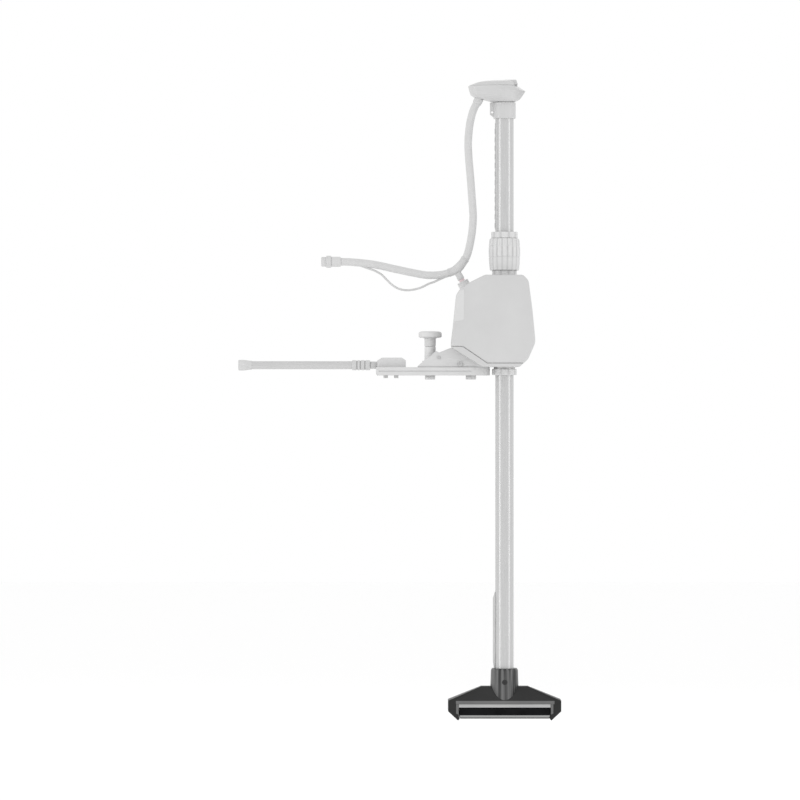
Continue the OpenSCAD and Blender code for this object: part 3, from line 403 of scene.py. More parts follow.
# %% A helper that starts a finish
def finish(name, rough, metallic=0.0, spec=0.5, coat=0.0, coat_rough=0.1, sheen=0.0):
    """New node material: returns it with its tree, its shader and a function that adds and links nodes."""
    m = bpy.data.materials.new(name)
    m.use_nodes = True
    tree = m.node_tree
    shader = tree.nodes["Principled BSDF"]
    for socket, value in (("Roughness", rough), ("Metallic", metallic), ("Specular IOR Level", spec),
                          ("Coat Weight", coat), ("Coat Roughness", coat_rough), ("Sheen Weight", sheen)):
        shader.inputs[socket].default_value = value
    def add(kind, links=(), **values):
        node = tree.nodes.new(kind)
        for key, value in values.items():
            if hasattr(node, key):
                setattr(node, key, value)
            else:
                node.inputs[key.replace("_", " ")].default_value = value
        for socket, source in dict(links).items():
            tree.links.new(source, node.inputs[socket])
        return node
    return m, tree, shader, add

def two_tone(add, fac, first, last, low=0.0, high=1.0):
    """Colour ramp on fac: the first colour up to low, the last one from high."""
    ramp = add("ShaderNodeValToRGB", {"Fac": fac})
    for stop, place, colour in zip(ramp.color_ramp.elements, (low, high), (first, last)):
        stop.position = place
        stop.color = (*colour, 1)
    return ramp

def tinted(tree, add, colour, tint):
    """Product of two colours."""
    product = add("ShaderNodeMix", data_type="RGBA", blend_type="MULTIPLY")
    product.inputs[0].default_value = 1.0
    tree.links.new(colour, product.inputs[6])
    tree.links.new(tint, product.inputs[7])
    return product.outputs[2]

def computed(add, operation, first, second=None):
    """Math on one or two values; the second is an output to link, or a number set on the socket."""
    number = isinstance(second, float)
    links = {0: first} if number or second is None else {0: first, 1: second}
    node = add("ShaderNodeMath", links, operation=operation)
    if number:
        node.inputs[1].default_value = second
    return node.outputs[0]

def split(add, vector):
    """The X, Y and Z of a vector."""
    return add("ShaderNodeSeparateXYZ", {"Vector": vector}).outputs

def clouded(tree, shader, add, dark, light, scale, detail=4.0, where=None):
    """Base colour wanders between two tones with fractal noise at the given scale per metre."""
    where = where or add("ShaderNodeTexCoord").outputs["Object"]
    noise = add("ShaderNodeTexNoise", {"Vector": where}, Scale=scale, Detail=detail, Roughness=0.55)
    ramp = two_tone(add, noise.outputs["Fac"], dark, light, 0.3, 0.7)
    tree.links.new(ramp.outputs["Color"], shader.inputs["Base Color"])
    return where, noise.outputs["Fac"], ramp.outputs["Color"]

def bumped(tree, shader, add, height, depth, strength=1.0):
    """Height field to normal: depth is in metres of relief."""
    bump = add("ShaderNodeBump", {"Height": height}, Strength=strength, Distance=depth)
    tree.links.new(bump.outputs["Normal"], shader.inputs["Normal"])

def grained(tree, shader, add, where, relief, grain=1400):
    """Fine leather-like grain of a mould, as relief."""
    fine = add("ShaderNodeTexNoise", {"Vector": where}, Scale=grain, Detail=2.0, Roughness=0.6)
    bumped(tree, shader, add, fine.outputs["Fac"], relief, 0.7)

def uneven_gloss(tree, shader, add, fac, low, high):
    """Roughness runs from low to high as fac runs from 0 to 1."""
    ramp = add("ShaderNodeMapRange", {"Value": fac}, To_Min=low, To_Max=high)
    tree.links.new(ramp.outputs["Result"], shader.inputs["Roughness"])

def grey(value, warm=0.0):
    """A near neutral tone, a little warm or cool."""
    return (value * (1 + warm), value, value * (1 - warm))

# %% Moulded plastics
def moulded(name, tone, rough=0.42, grain=1400, relief=0.00003, spread=0.025, warm=0.0, spec=0.4):
    """Injection-moulded plastic: fine leather-like grain from noise, and broad faint flow clouding."""
    m, tree, shader, add = finish(name, rough, spec=spec)
    dark, light = grey(tone * (1 - spread), warm), grey(tone * (1 + spread), warm)
    where, noise, _ = clouded(tree, shader, add, dark, light, 14, 5)
    grained(tree, shader, add, where, relief, grain)
    uneven_gloss(tree, shader, add, noise, rough - 0.06, rough + 0.08)
    return m

shell_plastic = moulded("pale_shell_plastic", 0.565)
panel_plastic = moulded("light_panel_plastic", 0.625, rough=0.3, relief=0.00001)
band_plastic = moulded("base_band_plastic", 0.555, rough=0.5)
grip_plastic = moulded("grip_plastic", 0.64, rough=0.48, relief=0.00005)
fitting_plastic = moulded("fitting_plastic", 0.6, rough=0.46)
bearing_plastic = moulded("bearing_plastic", 0.72, rough=0.38, warm=0.05)
foot_plastic = moulded("charcoal_foot_plastic", 0.024, 0.5, 1100, 0.00006, spread=0.2, spec=0.22)
lip_plastic = moulded("foot_lip_plastic", 0.135, 0.42, 1100, 0.00004, spread=0.1, spec=0.3)
cap_plastic = moulded("charcoal_cap_plastic", 0.014, 0.42, 1100, 0.00004, spread=0.16, spec=0.3)
pole_axis_x = 111.1
white = (1, 1, 1)

def shade_stepped(name, tone, edge_x, step, rough=0.32):
    """Moulding with painted shade: the tone steps by a fraction at one X in metres, with a thin darker line
    there, copying a shading line across the head. Towards the outboard nose it darkens once more, a painted
    shade on the slope that the lamps light most.
    """
    m, tree, shader, add = finish(name, rough, spec=0.4)
    where, noise, cloud = clouded(tree, shader, add, grey(tone * 0.98), grey(tone * 1.02), 14, 5)
    x = split(add, where)["X"]
    # Painted shade: a tone step across the head at edge_x, with a thin darker line at the step.
    side = add("ShaderNodeMapRange", {"Value": x}, From_Min=edge_x - 0.0006, From_Max=edge_x + 0.0006)
    tint = two_tone(add, side.outputs["Result"], white, grey(1 - step))
    line = tint.color_ramp.elements.new(0.5)
    line.color = (0.95, 0.95, 0.95, 1)
    # Painted shade: darker towards the nose, on the slope that the lamps light most.
    nose = add("ShaderNodeMapRange", {"Value": x}, From_Min=0.128, From_Max=0.150)
    painted_nose_shade = two_tone(add, nose.outputs["Result"], white, grey(0.78))
    colour = tinted(tree, add, cloud, tint.outputs["Color"])
    colour = tinted(tree, add, colour, painted_nose_shade.outputs["Color"])
    tree.links.new(colour, shader.inputs["Base Color"])
    grained(tree, shader, add, where, 0.00003)
    uneven_gloss(tree, shader, add, noise, rough - 0.06, rough + 0.08)
    return m

def grooves_with_shade_and_grime(name, tone, count, dark):
    """Grip moulding: painted shade and grime in the grooves darken the tone with cos(count a), a the angle
    round the pole.
    """
    m, tree, shader, add = finish(name, 0.4, spec=0.45)
    where, noise, cloud = clouded(tree, shader, add, grey(tone * 0.985), grey(tone * 1.015), 14, 5)
    parts = split(add, where)
    across = computed(add, "SUBTRACT", parts["X"], pole_axis_x * MM)
    angle = computed(add, "ARCTAN2", parts["Y"], across)
    wave = computed(add, "COSINE", computed(add, "MULTIPLY", angle, float(count)))
    depth = add("ShaderNodeMapRange", {"Value": wave}, From_Min=0.1, From_Max=1.0)
    # Painted shade and grime: darkest in the grooves, a little lighter on the ridges.
    tint = two_tone(add, depth.outputs["Result"], grey(1.03), grey(1 - dark))
    tree.links.new(tinted(tree, add, cloud, tint.outputs["Color"]), shader.inputs["Base Color"])
    grained(tree, shader, add, where, 0.00004)
    uneven_gloss(tree, shader, add, noise, 0.34, 0.48)
    return m

def groove_rings_shaded(name, tone, dark, bands):
    """Moulding with painted shade in its grooves: the tone drops by a fraction between each pair of X values,
    in metres.
    """
    m, tree, shader, add = finish(name, 0.42, spec=0.4)
    where, noise, cloud = clouded(tree, shader, add, grey(tone * 0.98), grey(tone * 1.02), 20, 4)
    x = split(add, where)["X"]
    soft = 0.0003
    inside = []
    for low, high in bands:
        after = add("ShaderNodeMapRange", {"Value": x}, From_Min=low - soft, From_Max=low + soft)
        before = add("ShaderNodeMapRange", {"Value": x}, From_Min=high + soft, From_Max=high - soft)
        inside.append(computed(add, "MULTIPLY", after.outputs["Result"], before.outputs["Result"]))
    shade = inside[0]
    for more in inside[1:]:
        shade = computed(add, "ADD", shade, more)
    # Painted shade: the tone drops between each pair of X values.
    tint = two_tone(add, shade, white, grey(1 - dark))
    tree.links.new(tinted(tree, add, cloud, tint.outputs["Color"]), shader.inputs["Base Color"])
    grained(tree, shader, add, where, 0.00004)
    uneven_gloss(tree, shader, add, noise, 0.36, 0.5)
    return m

# The head's tone step and its darker nose are painted shade.
head_plastic = shade_stepped("pale_head_plastic", 0.565, pole_axis_x * MM, -0.02)
nut_plastic = grooves_with_shade_and_grime("depth_nut_plastic", 0.63, 18, 0.15)
ring_plastic = grooves_with_shade_and_grime("clamp_ring_plastic", 0.62, 10, 0.15)
# X spans of the stay nut's three grooves, which get painted shade.
nut_groove_shade_places = [(-0.1940, -0.1914), (-0.1868, -0.1842), (-0.1774, -0.1750)]
nut_ring_plastic = groove_rings_shaded("stay_nut_plastic", 0.58, 0.4, nut_groove_shade_places)
gear_plastic = moulded("gear_acetal", 0.72, rough=0.3, warm=0.06)

# %% Coated and bare metals
def powder_coat(name, tone, rough=0.4):
    """Powder coat: orange-peel ripple from medium noise over a faint two-tone cloud."""
    m, tree, shader, add = finish(name, rough, spec=0.45, coat=0.12, coat_rough=0.3)
    where, noise, _ = clouded(tree, shader, add, grey(tone * 0.975), grey(tone * 1.02), 22)
    peel = add("ShaderNodeTexNoise", {"Vector": where}, Scale=620, Detail=1.5, Roughness=0.4)
    bumped(tree, shader, add, peel.outputs["Fac"], 0.00006, 0.6)
    uneven_gloss(tree, shader, add, noise, rough - 0.05, rough + 0.07)
    return m

def stretched(add, where, scale):
    """Coordinates multiplied axis by axis; a small factor draws a pattern out along that axis."""
    mapped = add("ShaderNodeMapping", {"Vector": where})
    mapped.inputs["Scale"].default_value = scale
    return mapped.outputs["Vector"]

def brushed(name, tone, along, rough=0.34, metallic=0.75, warm=0.0):
    """Drawn or brushed metal: noise stretched along one axis scratches the tone, gloss and relief."""
    m, tree, shader, add = finish(name, rough, metallic=metallic, spec=0.5)
    where = add("ShaderNodeTexCoord").outputs["Object"]
    stretch = [1.0, 1.0, 1.0]
    stretch["XYZ".index(along)] = 0.02
    drawn = stretched(add, where, stretch)
    clouded(tree, shader, add, grey(tone * 0.93, warm), grey(tone * 1.05, warm), 900, 3, drawn)
    lines = add("ShaderNodeTexNoise", {"Vector": drawn}, Scale=1600, Detail=2.0)
    bumped(tree, shader, add, lines.outputs["Fac"], 0.00002, 0.5)
    uneven_gloss(tree, shader, add, lines.outputs["Fac"], rough - 0.08, rough + 0.1)
    return m

plate_coat = powder_coat("plate_powder_coat", 0.61)
cradle_coat = powder_coat("cradle_powder_coat", 0.605)
# The guide sleeve wears the cradle's coat, painted lighter to lift the shade that falls on it.
sleeve_coat_painted_light = powder_coat("guide_sleeve_coat", 0.7)
fastener_steel = brushed("fastener_steel", 0.5, "Z", 0.38, 0.35)
tube_skin = brushed("pole_tube_skin", 0.53, "Z", 0.24, 0.3)
rod_skin = brushed("stay_rod_skin", 0.55, "X", 0.3, 0.3)
rail_trim = brushed("foot_rail_trim", 0.42, "X", 0.3, 0.3)
# Light tone of the painted reflection strips on the foot's window.
painted_window_reflection = brushed("painted_window_reflection_finish", 0.3, "X", 0.32, 0.3)
fastener_dark = brushed("foot_fastener_steel", 0.03, "Y", 0.4, 0.4)
can_steel = brushed("motor_can_steel", 0.38, "Z", 0.32, 0.85)
bronze = brushed("bush_bronze", 0.5, "Z", 0.36, 0.9, 0.25)

def collar_with_painted_streaks(name, dark, light):
    """Charcoal collar with painted highlights: broad light upright streaks from noise stretched along Z stand
    for the lamps' reflections, over a fine grain.
    """
    m, tree, shader, add = finish(name, 0.36, spec=0.5)
    where = add("ShaderNodeTexCoord").outputs["Object"]
    drawn = stretched(add, where, (1.0, 1.0, 0.015))
    # Painted highlights: light upright streaks stand for the strip lamps' reflections.
    broad = add("ShaderNodeTexNoise", {"Vector": drawn}, Scale=150, Detail=2.0, Roughness=0.55)
    ramp = two_tone(add, broad.outputs["Fac"], grey(dark), grey(light), 0.4, 0.62)
    tree.links.new(ramp.outputs["Color"], shader.inputs["Base Color"])
    fine = add("ShaderNodeTexNoise", {"Vector": where}, Scale=1500, Detail=2.0)
    bumped(tree, shader, add, fine.outputs["Fac"], 0.00004, 0.6)
    uneven_gloss(tree, shader, add, broad.outputs["Fac"], 0.3, 0.46)
    return m

collar_plastic = collar_with_painted_streaks("foot_collar_plastic", 0.012, 0.125)

# %% Rubber, seal, gloss window and inner parts
def rubber(name, tone, rough=0.62, warm=0.0):
    """Moulded rubber: matt, slightly mottled, with pin-head relief from Voronoi cells."""
    m, tree, shader, add = finish(name, rough, spec=0.3, sheen=0.05)
    where, noise, _ = clouded(tree, shader, add, grey(tone * 0.95, warm), grey(tone * 1.04, warm), 40)
    cells = add("ShaderNodeTexVoronoi", {"Vector": where}, Scale=900)
    bumped(tree, shader, add, cells.outputs["Distance"], 0.00003, 0.5)
    uneven_gloss(tree, shader, add, noise, rough - 0.05, rough + 0.08)
    return m

pale_rubber = rubber("pale_rubber", 0.58)
thin_rubber = rubber("thin_lead_rubber", 0.56, 0.5)
lead_rubber = rubber("black_lead_rubber", 0.03, 0.5)

def seal_ring_finish():
    """Silicone seal: dusty pink, soft and slightly clear-coated."""
    m, tree, shader, add = finish("pink_seal", 0.4, coat=0.2)
    clouded(tree, shader, add, (0.73, 0.6, 0.62), (0.79, 0.67, 0.69), 120)
    return m

def window_gloss():
    """Black sonar window: darker than any moulding round it, with a faint swirl in its deep gloss."""
    m, tree, shader, add = finish("sonar_window_gloss", 0.12, spec=0.05)
    _, noise, _ = clouded(tree, shader, add, (0.004, 0.004, 0.0045), (0.008, 0.008, 0.009), 30)
    uneven_gloss(tree, shader, add, noise, 0.08, 0.2)
    return m

def printed_board(name, dark, light):
    """Circuit board lacquer: copper tracks show as a faint brick pattern under green."""
    m, tree, shader, add = finish(name, 0.35, coat=0.4)
    where = add("ShaderNodeTexCoord").outputs["Object"]
    tracks = add("ShaderNodeTexBrick", {"Vector": where}, Scale=90.0)
    tracks.inputs["Color1"].default_value = (*dark, 1)
    tracks.inputs["Color2"].default_value = (*light, 1)
    tracks.inputs["Mortar"].default_value = (*[c * 1.4 for c in light], 1)
    tree.links.new(tracks.outputs["Color"], shader.inputs["Base Color"])
    return m

seal_pink = seal_ring_finish()
window_black = window_gloss()
board_green = printed_board("board_green", (0.02, 0.09, 0.04), (0.03, 0.12, 0.05))
port_plastic = moulded("port_fitting_plastic", 0.64, rough=0.44)
element_ceramic = moulded("element_ceramic", 0.3, rough=0.6, warm=0.15)

# %% [markdown]
# ## Braided conduit finish
# The conduit wears a woven sleeve. Two sets of strands wind round it in opposite senses; where one set lies
# over the other the surface stands a little higher. The piece carries its own map: one coordinate along,
# one round, in millimetres, so the weave keeps its scale round every bend.

# %% Woven sleeve
def woven(name, tone, pitch=2.6):
    """Two crossed sine waves of the map's coordinates make strands; their product is tone and relief."""
    m, tree, shader, add = finish(name, 0.55, spec=0.35, sheen=0.2)
    uv = add("ShaderNodeUVMap", uv_map="along_round")
    parts = split(add, uv.outputs["UV"])

    def strand(sign):
        slanted = computed(add, "ADD", parts["X"], computed(add, "MULTIPLY", parts["Y"], sign))
        return computed(add, "SINE", computed(add, "MULTIPLY", slanted, 2 * math.pi / pitch))

    cross = computed(add, "MULTIPLY", strand(1.0), strand(-1.0))
    level = add("ShaderNodeMapRange", {"Value": cross}, From_Min=-1.0, From_Max=1.0)
    where = add("ShaderNodeTexCoord").outputs["Object"]
    noise = add("ShaderNodeTexNoise", {"Vector": where}, Scale=60.0, Detail=3.0)
    mix = computed(add, "ADD", level.outputs["Result"], noise.outputs["Fac"])
    ramp = two_tone(add, mix, grey(tone * 0.9), grey(tone * 1.05), 0.35, 1.25 / 1.3)
    tree.links.new(ramp.outputs["Color"], shader.inputs["Base Color"])
    bumped(tree, shader, add, level.outputs["Result"], 0.0002, 0.6)
    return m

sleeve_weave = woven("woven_sleeve", 0.575)
print(len(bpy.data.materials), "finishes made")

# %% [markdown]
# ## Cords
# The conduit that comes down from the head is held at both ends, by the head and by the gearbox; here it is
# one fixed mesh that rides on no body. The harness is a stiff sleeved tail that leaves the junction boot and
# ends in its capped connector. A thin cable leaves the harness and goes back into it, hanging in a small bow
# under its own weight. A woven sleeve is never quite a plain tube, so the strands also stand up a little in
# the mesh itself.

# %% Conduit and harness paths
def in_plane(*points):
    """Points (x, z) of the middle plane, given as (x, 0, z)."""
    return [(x, 0, z) for x, z in points]

conduit_points = in_plane((59.6, 570.5), (54.6, 561.6), (47.2, 546.6), (41.4, 526), (38.2, 505), (36.4, 478),
                          (37.7, 448), (41.4, 404), (44.5, 361.5), (46.6, 330), (45.3, 303.9), (41.8, 279.1),
                          (35.6, 252), (28.8, 237.2))
harness_points = in_plane((2.6, 213.2), (-14, 208.6), (-36, 206.4), (-60, 208.2), (-111.2, 218.6),
                          (-158.4, 228.7), (-205.8, 233.6), (-232, 234.2))
thin_points = in_plane((-10, 203.6), (-18, 199.9), (-26, 196.4), (-34, 192.6), (-44.5, 189), (-60.4, 181.3),
                       (-76, 177), (-91.9, 175.7), (-107.5, 179), (-120.3, 186.8), (-131.2, 197),
                       (-142.3, 208), (-154.9, 215.2), (-164, 218.6), (-176, 222.8), (-186, 226.4))
conduit_radius, thin_radius = 8.0, 2.2

def length_of(path):
    """Sum of the distances between neighbouring points, in metres."""
    return float(distances(path)[-1]) * MM

conduit_path = spaced(smooth_path(conduit_points, 24), 1.2)
harness_path = spaced(smooth_path(harness_points, 24), 1.2)
thin_path = spaced(smooth_path(thin_points, 12), 1.5)
for name, path in (("conduit", conduit_path), ("harness", harness_path), ("thin cable", thin_path)):
    print(name, round(length_of(path), 3), "m")

# %% Woven sleeve surfaces
strand_height, strand_pitch, strands = 0.12, 5.2, 8

def weave_wave(s, k):
    """Strand relief: the product of two opposed helices, so the sleeve reads as woven."""
    along, around = 2 * np.pi * s / strand_pitch, strands * k
    return strand_height * np.sin(along + around) * np.sin(along - around)

def along_round(path, sides, radius):
    """Map for a swept round: distance along and round in millimetres, with the two cap points at the end."""
    s = distances(path)
    k = np.linspace(0, 2 * np.pi, sides, endpoint=False) * radius
    grid = np.stack(np.meshgrid(s, k, indexing="ij"), -1).reshape(-1, 2)
    return np.vstack([grid, [[0, 0], [s[-1], 0]]])

def sleeved(name, path, body, node, sides=48):
    """A woven sleeve along a path, whose crests reach the cord's own radius."""
    grid = swept(path, conduit_radius - strand_height, sides, weave_wave)
    return make(name, [grid], body, sleeve_weave, node, uv=along_round(path, sides, conduit_radius))

conduit = sleeved("conduit_sleeve", conduit_path, None, "head_conduit")
harness = sleeved("harness_sleeve", harness_path, "carrier", "harness_tail")
thin_lead = make("thin_lead", [swept(thin_path, thin_radius, 20)], "carrier", thin_rubber, "thin_cable")

# %% [markdown]
# ## Connector and boots
# The harness ends in a round in-line connector with a ribbed nut and a screwed dust cap. A moulded boot
# joins conduit, harness and port lead, and a red seal shows where the lead enters the port. Boots are swept
# rounds whose radius swells along the path, as a moulding does round its inserts.

# %% Harness connector
def ribbed(count, depth):
    """Ribs round a turned part: radius drops by depth times a raised cosine^4, count times round."""
    return lambda t, z, r: r - depth * (0.5 + 0.5 * np.cos(count * t)) ** 4 * np.ones_like(z)

rear_shell = rounded([(-6, 8.4), (-6, 9.6), (-4, 10.5), (13.6, 10.5), (13.6, 9.4)], 1.0, closed=False)
grip_nut = [(13.8, 9.0), (13.8, 11.8), (14.8, 12.5), (23.2, 12.5), (24.1, 11.8), (24.1, 9)]
dust_cap = [(24.0, 8.4), (24.0, 9.9), (25.6, 10), (33, 10), (34.5, 8.6), (34.5, 0.2)]
inboard, harness_end = (-1, 0, 0), harness_points[-1]
connector_parts = [turned(spaced(rear_shell, 1), inboard, harness_end)]
for profile, radius, wave in ((grip_nut, 0.7, ribbed(24, 0.7)), (dust_cap, 0.8, ribbed(36, 0.25))):
    row = spaced(rounded(profile, radius, closed=False), 0.8)
    connector_parts.append(turned(row, inboard, harness_end, 144, wave))
connector = make("harness_connector", connector_parts, "carrier", fitting_plastic, "tail_connector",
                 smooth=50)

# %% Junction boot, port, plug and seal ring
port_lean = math.radians(28)
port_axis = (-math.sin(port_lean), 0.0, math.cos(port_lean))
port_foot = (30.5, 0, 182.5)
boot_points = in_plane((30.4, 240.6), (23.4, 230.2), (14.6, 220.4), (5.4, 214.9), (-3.4, 211.6))
boot_path = spaced(smooth_path(boot_points, 16), 0.8)
boot_s = np.linspace(-1, 1, len(boot_path))
boot_swell = 1.1 * np.exp(-(boot_s / 0.42) ** 2)
boot_lips = 0.55 * (np.abs(boot_s) > 0.9)
boot_ribs = 0.12 * np.cos(boot_s * 40)
boot = swept(boot_path, 8.5 + boot_swell + boot_lips + boot_ribs, 48)
lead_profile = rounded([(17.8, 5.2), (17.8, 6.9), (19.2, 7.3), (24, 7.2), (33, 6.6)], 0.8, closed=False)
lead = turned(spaced(lead_profile, 0.8), port_axis, port_foot, 64)
make("junction_moulding", [boot, lead], "carrier", pale_rubber, "junction_boot", smooth=50)

boss_corners = [(-6, 2), (-6, 12), (9.6, 12), (9.6, 11.2), (10.4, 11.2), (10.4, 12), (12.2, 12), (13.0, 11),
                (13.0, 7.1), (2, 7.1)]
plug_corners = [(-0.9, 0.2), (-0.9, 6.9), (12.9, 6.9), (12.9, 3), (17.8, 3), (17.8, 0.2)]
for name, corners, radius, sides, node in (("port_receptacle", boss_corners, 0.5, 96, "port_boss"),
                                           ("port_plug_body", plug_corners, 0.4, 64, "port_plug")):
    row = spaced(rounded(corners, radius, closed=False), 1)
    make(name, [turned(row, port_axis, port_foot, sides)], "carrier", port_plastic, node)

seal_low, seal_height, seal_beads = 13.05, 4.6, 1.53
s = np.linspace(0, seal_height, 24)
beads = np.stack([seal_low + s, 5.75 + 0.5 * np.abs(np.sin(np.pi * s / seal_beads))], -1)
seal_profile = np.vstack([[[seal_low, 3.1]], beads, [[seal_low + seal_height, 3.1]]])
make("seal_ring", [turned(seal_profile, port_axis, port_foot, 64)], "carrier", seal_pink, "port_ring")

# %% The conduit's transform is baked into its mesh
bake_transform(conduit)

# %% [markdown]
# ## Head and neck
# The head is two moulded shells, a bowl below and a lid above. Seen from above both have the outline of a
# large circle round the pole joined by tangents to a small circle round the conduit. A mould needs draft
# and rounded edges, so the shells are lofted: at each height the outline is shrunk to the width that the
# side view has there. The bowl has a bore for the cap of the pole, which turns while the head stays still.

# %% Outline of the head seen from above
up, pole_foot = (0, 0, 1), (pole_axis_x, 0, 0)
head_big, head_small, head_small_x = 43.0, 25.0, 61.3

def head_outline(x_left, x_right, half_y, count=160):
    """Support points of two circles: c + r (cos t, sin t) of the large one while t is before the tangent's
    normal, else of the small one. The result is scaled to the given left, right and half width."""
    t = np.linspace(-np.pi, np.pi, count, endpoint=False)
    big = np.abs(t) < np.pi - math.acos((head_big - head_small) / (pole_axis_x - head_small_x))
    x = np.where(big, pole_axis_x + head_big * np.cos(t), head_small_x + head_small * np.cos(t))
    y = np.where(big, head_big, head_small) * np.sin(t)
    x0, x1 = head_small_x - head_small, pole_axis_x + head_big
    return np.stack([x_left + (x - x0) * (x_right - x_left) / (x1 - x0), y * half_y / head_big], -1)

def lofted(levels, count=160):
    """Rows (z, x_left, x_right, half_y) become stacked outlines joined by quads, closed by fans."""
    rings = [np.column_stack([head_outline(a, b, h, count), np.full(count, z)]) for z, a, b, h in levels]
    return skin(np.stack(rings) * MM)

def levels_between(rows, step=0.8):
    """Extra rows by linear interpolation, so no two lie further apart than step."""
    return spaced(np.asarray(rows, float), step)

def pole_bore(radius, z0, z1):
    """A cylinder on the pole axis, to be cut out."""
    return turned([(z0, radius), (z1, radius)], up, pole_foot, 96)

bowl_side = [(562.0, 96, 122, 14), (562.4, 88, 127, 22), (563.6, 82, 132.6, 28), (566.0, 73, 138.6, 33),
             (568.2, 66, 142.6, 35.6), (570.4, 54.5, 144.6, 37.4), (572.4, 48.2, 146.0, 38.6),
             (577.4, 41.4, 149.6, 40.8), (584.6, 38.6, 154.1, 42.8), (585.4, 38.4, 154.1, 42.8),
             (594.8, 36.4, 140.4, 39.8), (596.0, 37.0, 138.6, 38.8), (596.6, 38.4, 137.6, 38.0)]
bowl = make("head_bowl", [lofted(levels_between(bowl_side, 2.0))], "head", head_plastic, "head_lower",
            smooth=24)
gland_axis = np.array([5.0, 0, 8.9]) / np.hypot(5.0, 8.9)
bowl_cavity = [(569.5, 82, 132, 24), (573, 56, 139, 32), (580, 46, 144, 37), (588, 42, 142, 37),
               (597.4, 44, 134, 34.5)]
gland_hole = turned([(-8, 9.5), (14, 9.5)], gland_axis, (56.2, 0, 564.4), 64)
bored(bowl, [lofted(bowl_cavity), pole_bore(19.6, 555, 600), gland_hole])

# %% Lid, its raised block and the grip ribs
lid_side = [(596.7, 38.6, 137.8, 38.2), (597.4, 39.2, 137.8, 38.4), (600.0, 45.6, 137.0, 37.4),
            (603.0, 53.0, 136.2, 35.4), (605.0, 62, 135.4, 32), (606.5, 73, 134.6, 27),
            (607.4, 85, 133.8, 21), (607.8, 95, 133.0, 16)]
make("head_lid", [lofted(levels_between(lid_side, 1.6))], "head", head_plastic, "head_cover", smooth=24)
grip_block = [plate([(112, 597.4), (138.2, 597.4), (134.8, 608), (112, 608)], 1.0, -22, 22, 2.2, steps=5)]
grip_bars = [plate([(x, z), (x + 9.4, z), (x + 9.4, z + 1.5), (x, z + 1.5)], 0.5, -20, 20, 0.7, steps=4)
             for x, z in ((126.6, 605.0), (127.6, 602.2), (128.6, 599.4))]
make("head_grip_block", grip_block + grip_bars, "head", head_plastic)

# %% [markdown]
# The neck is a plain socket with a lug and its small eye for a lanyard. It keeps its exact shape, with its
# edges broken. The conduit gland is a thin turned sleeve that only just stands out of the bowl.

# %% Neck and gland
softened("head_neck", "neck_collar", "head", 0.8, head_plastic)
gland_loop = rounded([(0, 8.1), (0, 8.9), (0.7, 9.4), (12, 9.4), (12, 8.1)], 0.4)
gland = turned(spaced(gland_loop, 1.0, True), gland_axis, (53.8, 0, 560.2), 72, cap=False)
make("head_gland", [gland], "head", fitting_plastic, "conduit_gland")
softened("head_thrust_ring", "head_bearing", "head", 0.4, bearing_plastic)

# %% [markdown]
# ## Pole
# The pole is a stock drawn tube. Its toothed index strip shows as a row of small steps along the left edge
# above the gearbox, and a bolt-on fairing strip stands off the tube near the foot. The tube is remade as a
# thick-walled ring so that its ends have the small chamfer that a saw-cut and deburred tube has.

# %% Tube, index strip and fairing
def ring_round_pole(name, corners, radius, body, material, node, wave=None, sides=270, step=0.8, smooth=50):
    """A closed loop (height, radius) with rounded corners, turned round the pole axis."""
    loop = spaced(rounded(corners, radius), step, True)
    grid = turned(loop, up, pole_foot, sides, wave, cap=False)
    return make(name, [grid], body, material, node, smooth)

tube_corners = [(-635.8, 16.05), (-635.8, 19.05), (578, 19.05), (578, 16.05)]
ring_round_pole("pole_tube_skin", tube_corners, 0.5, "pole", tube_skin, "pole_tube", sides=144, step=24,
                smooth=38)
softened("index_strip", "depth_rack", "pole", 0.35, tube_skin)
softened("fairing", "fairing_strip", "pole", 0.9, band_plastic)
softened("pole_hanger_cap", "pole_cap", "pole", 0.6, bearing_plastic)

# %% [markdown]
# ## Gear housing
# Two moulded shells meet on the middle plane. In use they carry the whole pull of the pole, so the corners
# are generously rounded and the large side faces are slightly crowned, which also hides sink marks. The
# shells are hollow with one even wall, bored for the steering sleeve and the port, and the rear one has the
# six screw pockets.

# %% Shell outline and cavity
shell_corners = [(1.9, 58.6), (24.5, 58.6), (74.5, 24.6), (149, 24.6), (158.4, 33.2), (173.5, 67.6),
                 (167.5, 131.4), (159.2, 194.7), (147.9, 206), (69.8, 206), (39.8, 191.2), (26, 181),
                 (18.5, 176.3), (11.9, 167), (6, 108), (1.2, 66.5)]
shell_radii = [1.2, 1.6, 1.6, 2, 5, 8, 9, 6, 4, 4, 6, 3, 4, 5, 8, 3]
cavity_corners = [(7.2, 64), (26.4, 64), (75.6, 30.2), (146.6, 30.2), (154.6, 36.6), (169.2, 68),
                  (163.4, 131), (155.4, 192.6), (146.2, 202), (70.8, 202), (41.6, 187.6), (28, 177.6),
                  (21, 173.2), (15.9, 165.4), (10, 107.6)]
closing_hole = [(76, 20), (144.6, 20), (147.2, 31.4), (78.4, 31.4)]

def half_shell(name, side, node):
    """One shell, on the side -1 or 1 of the middle plane: the crowned, rolled plate minus its cavity, the
    sleeve bore, the port seat and the opening for the closing plate.
    """
    outer = plate(shell_corners, shell_radii, *sorted((side * 0.06, side * 63.9)), 3.4, 1.0, 7)
    piece = make(name, [outer], "carrier", shell_plastic, node, smooth=30)
    inner = plate(cavity_corners, 3, *sorted((side * -2, side * 60.6)), 2, 0, 3)
    across = plate(closing_hole, 1, -60.4, 60.4, 0.6, 0, 3)
    seat = turned([(-14, 12.06), (40, 12.06)], port_axis, port_foot, 96)
    bored(piece, [inner, pole_bore(25.1, 180, 220), across, seat])
    return piece

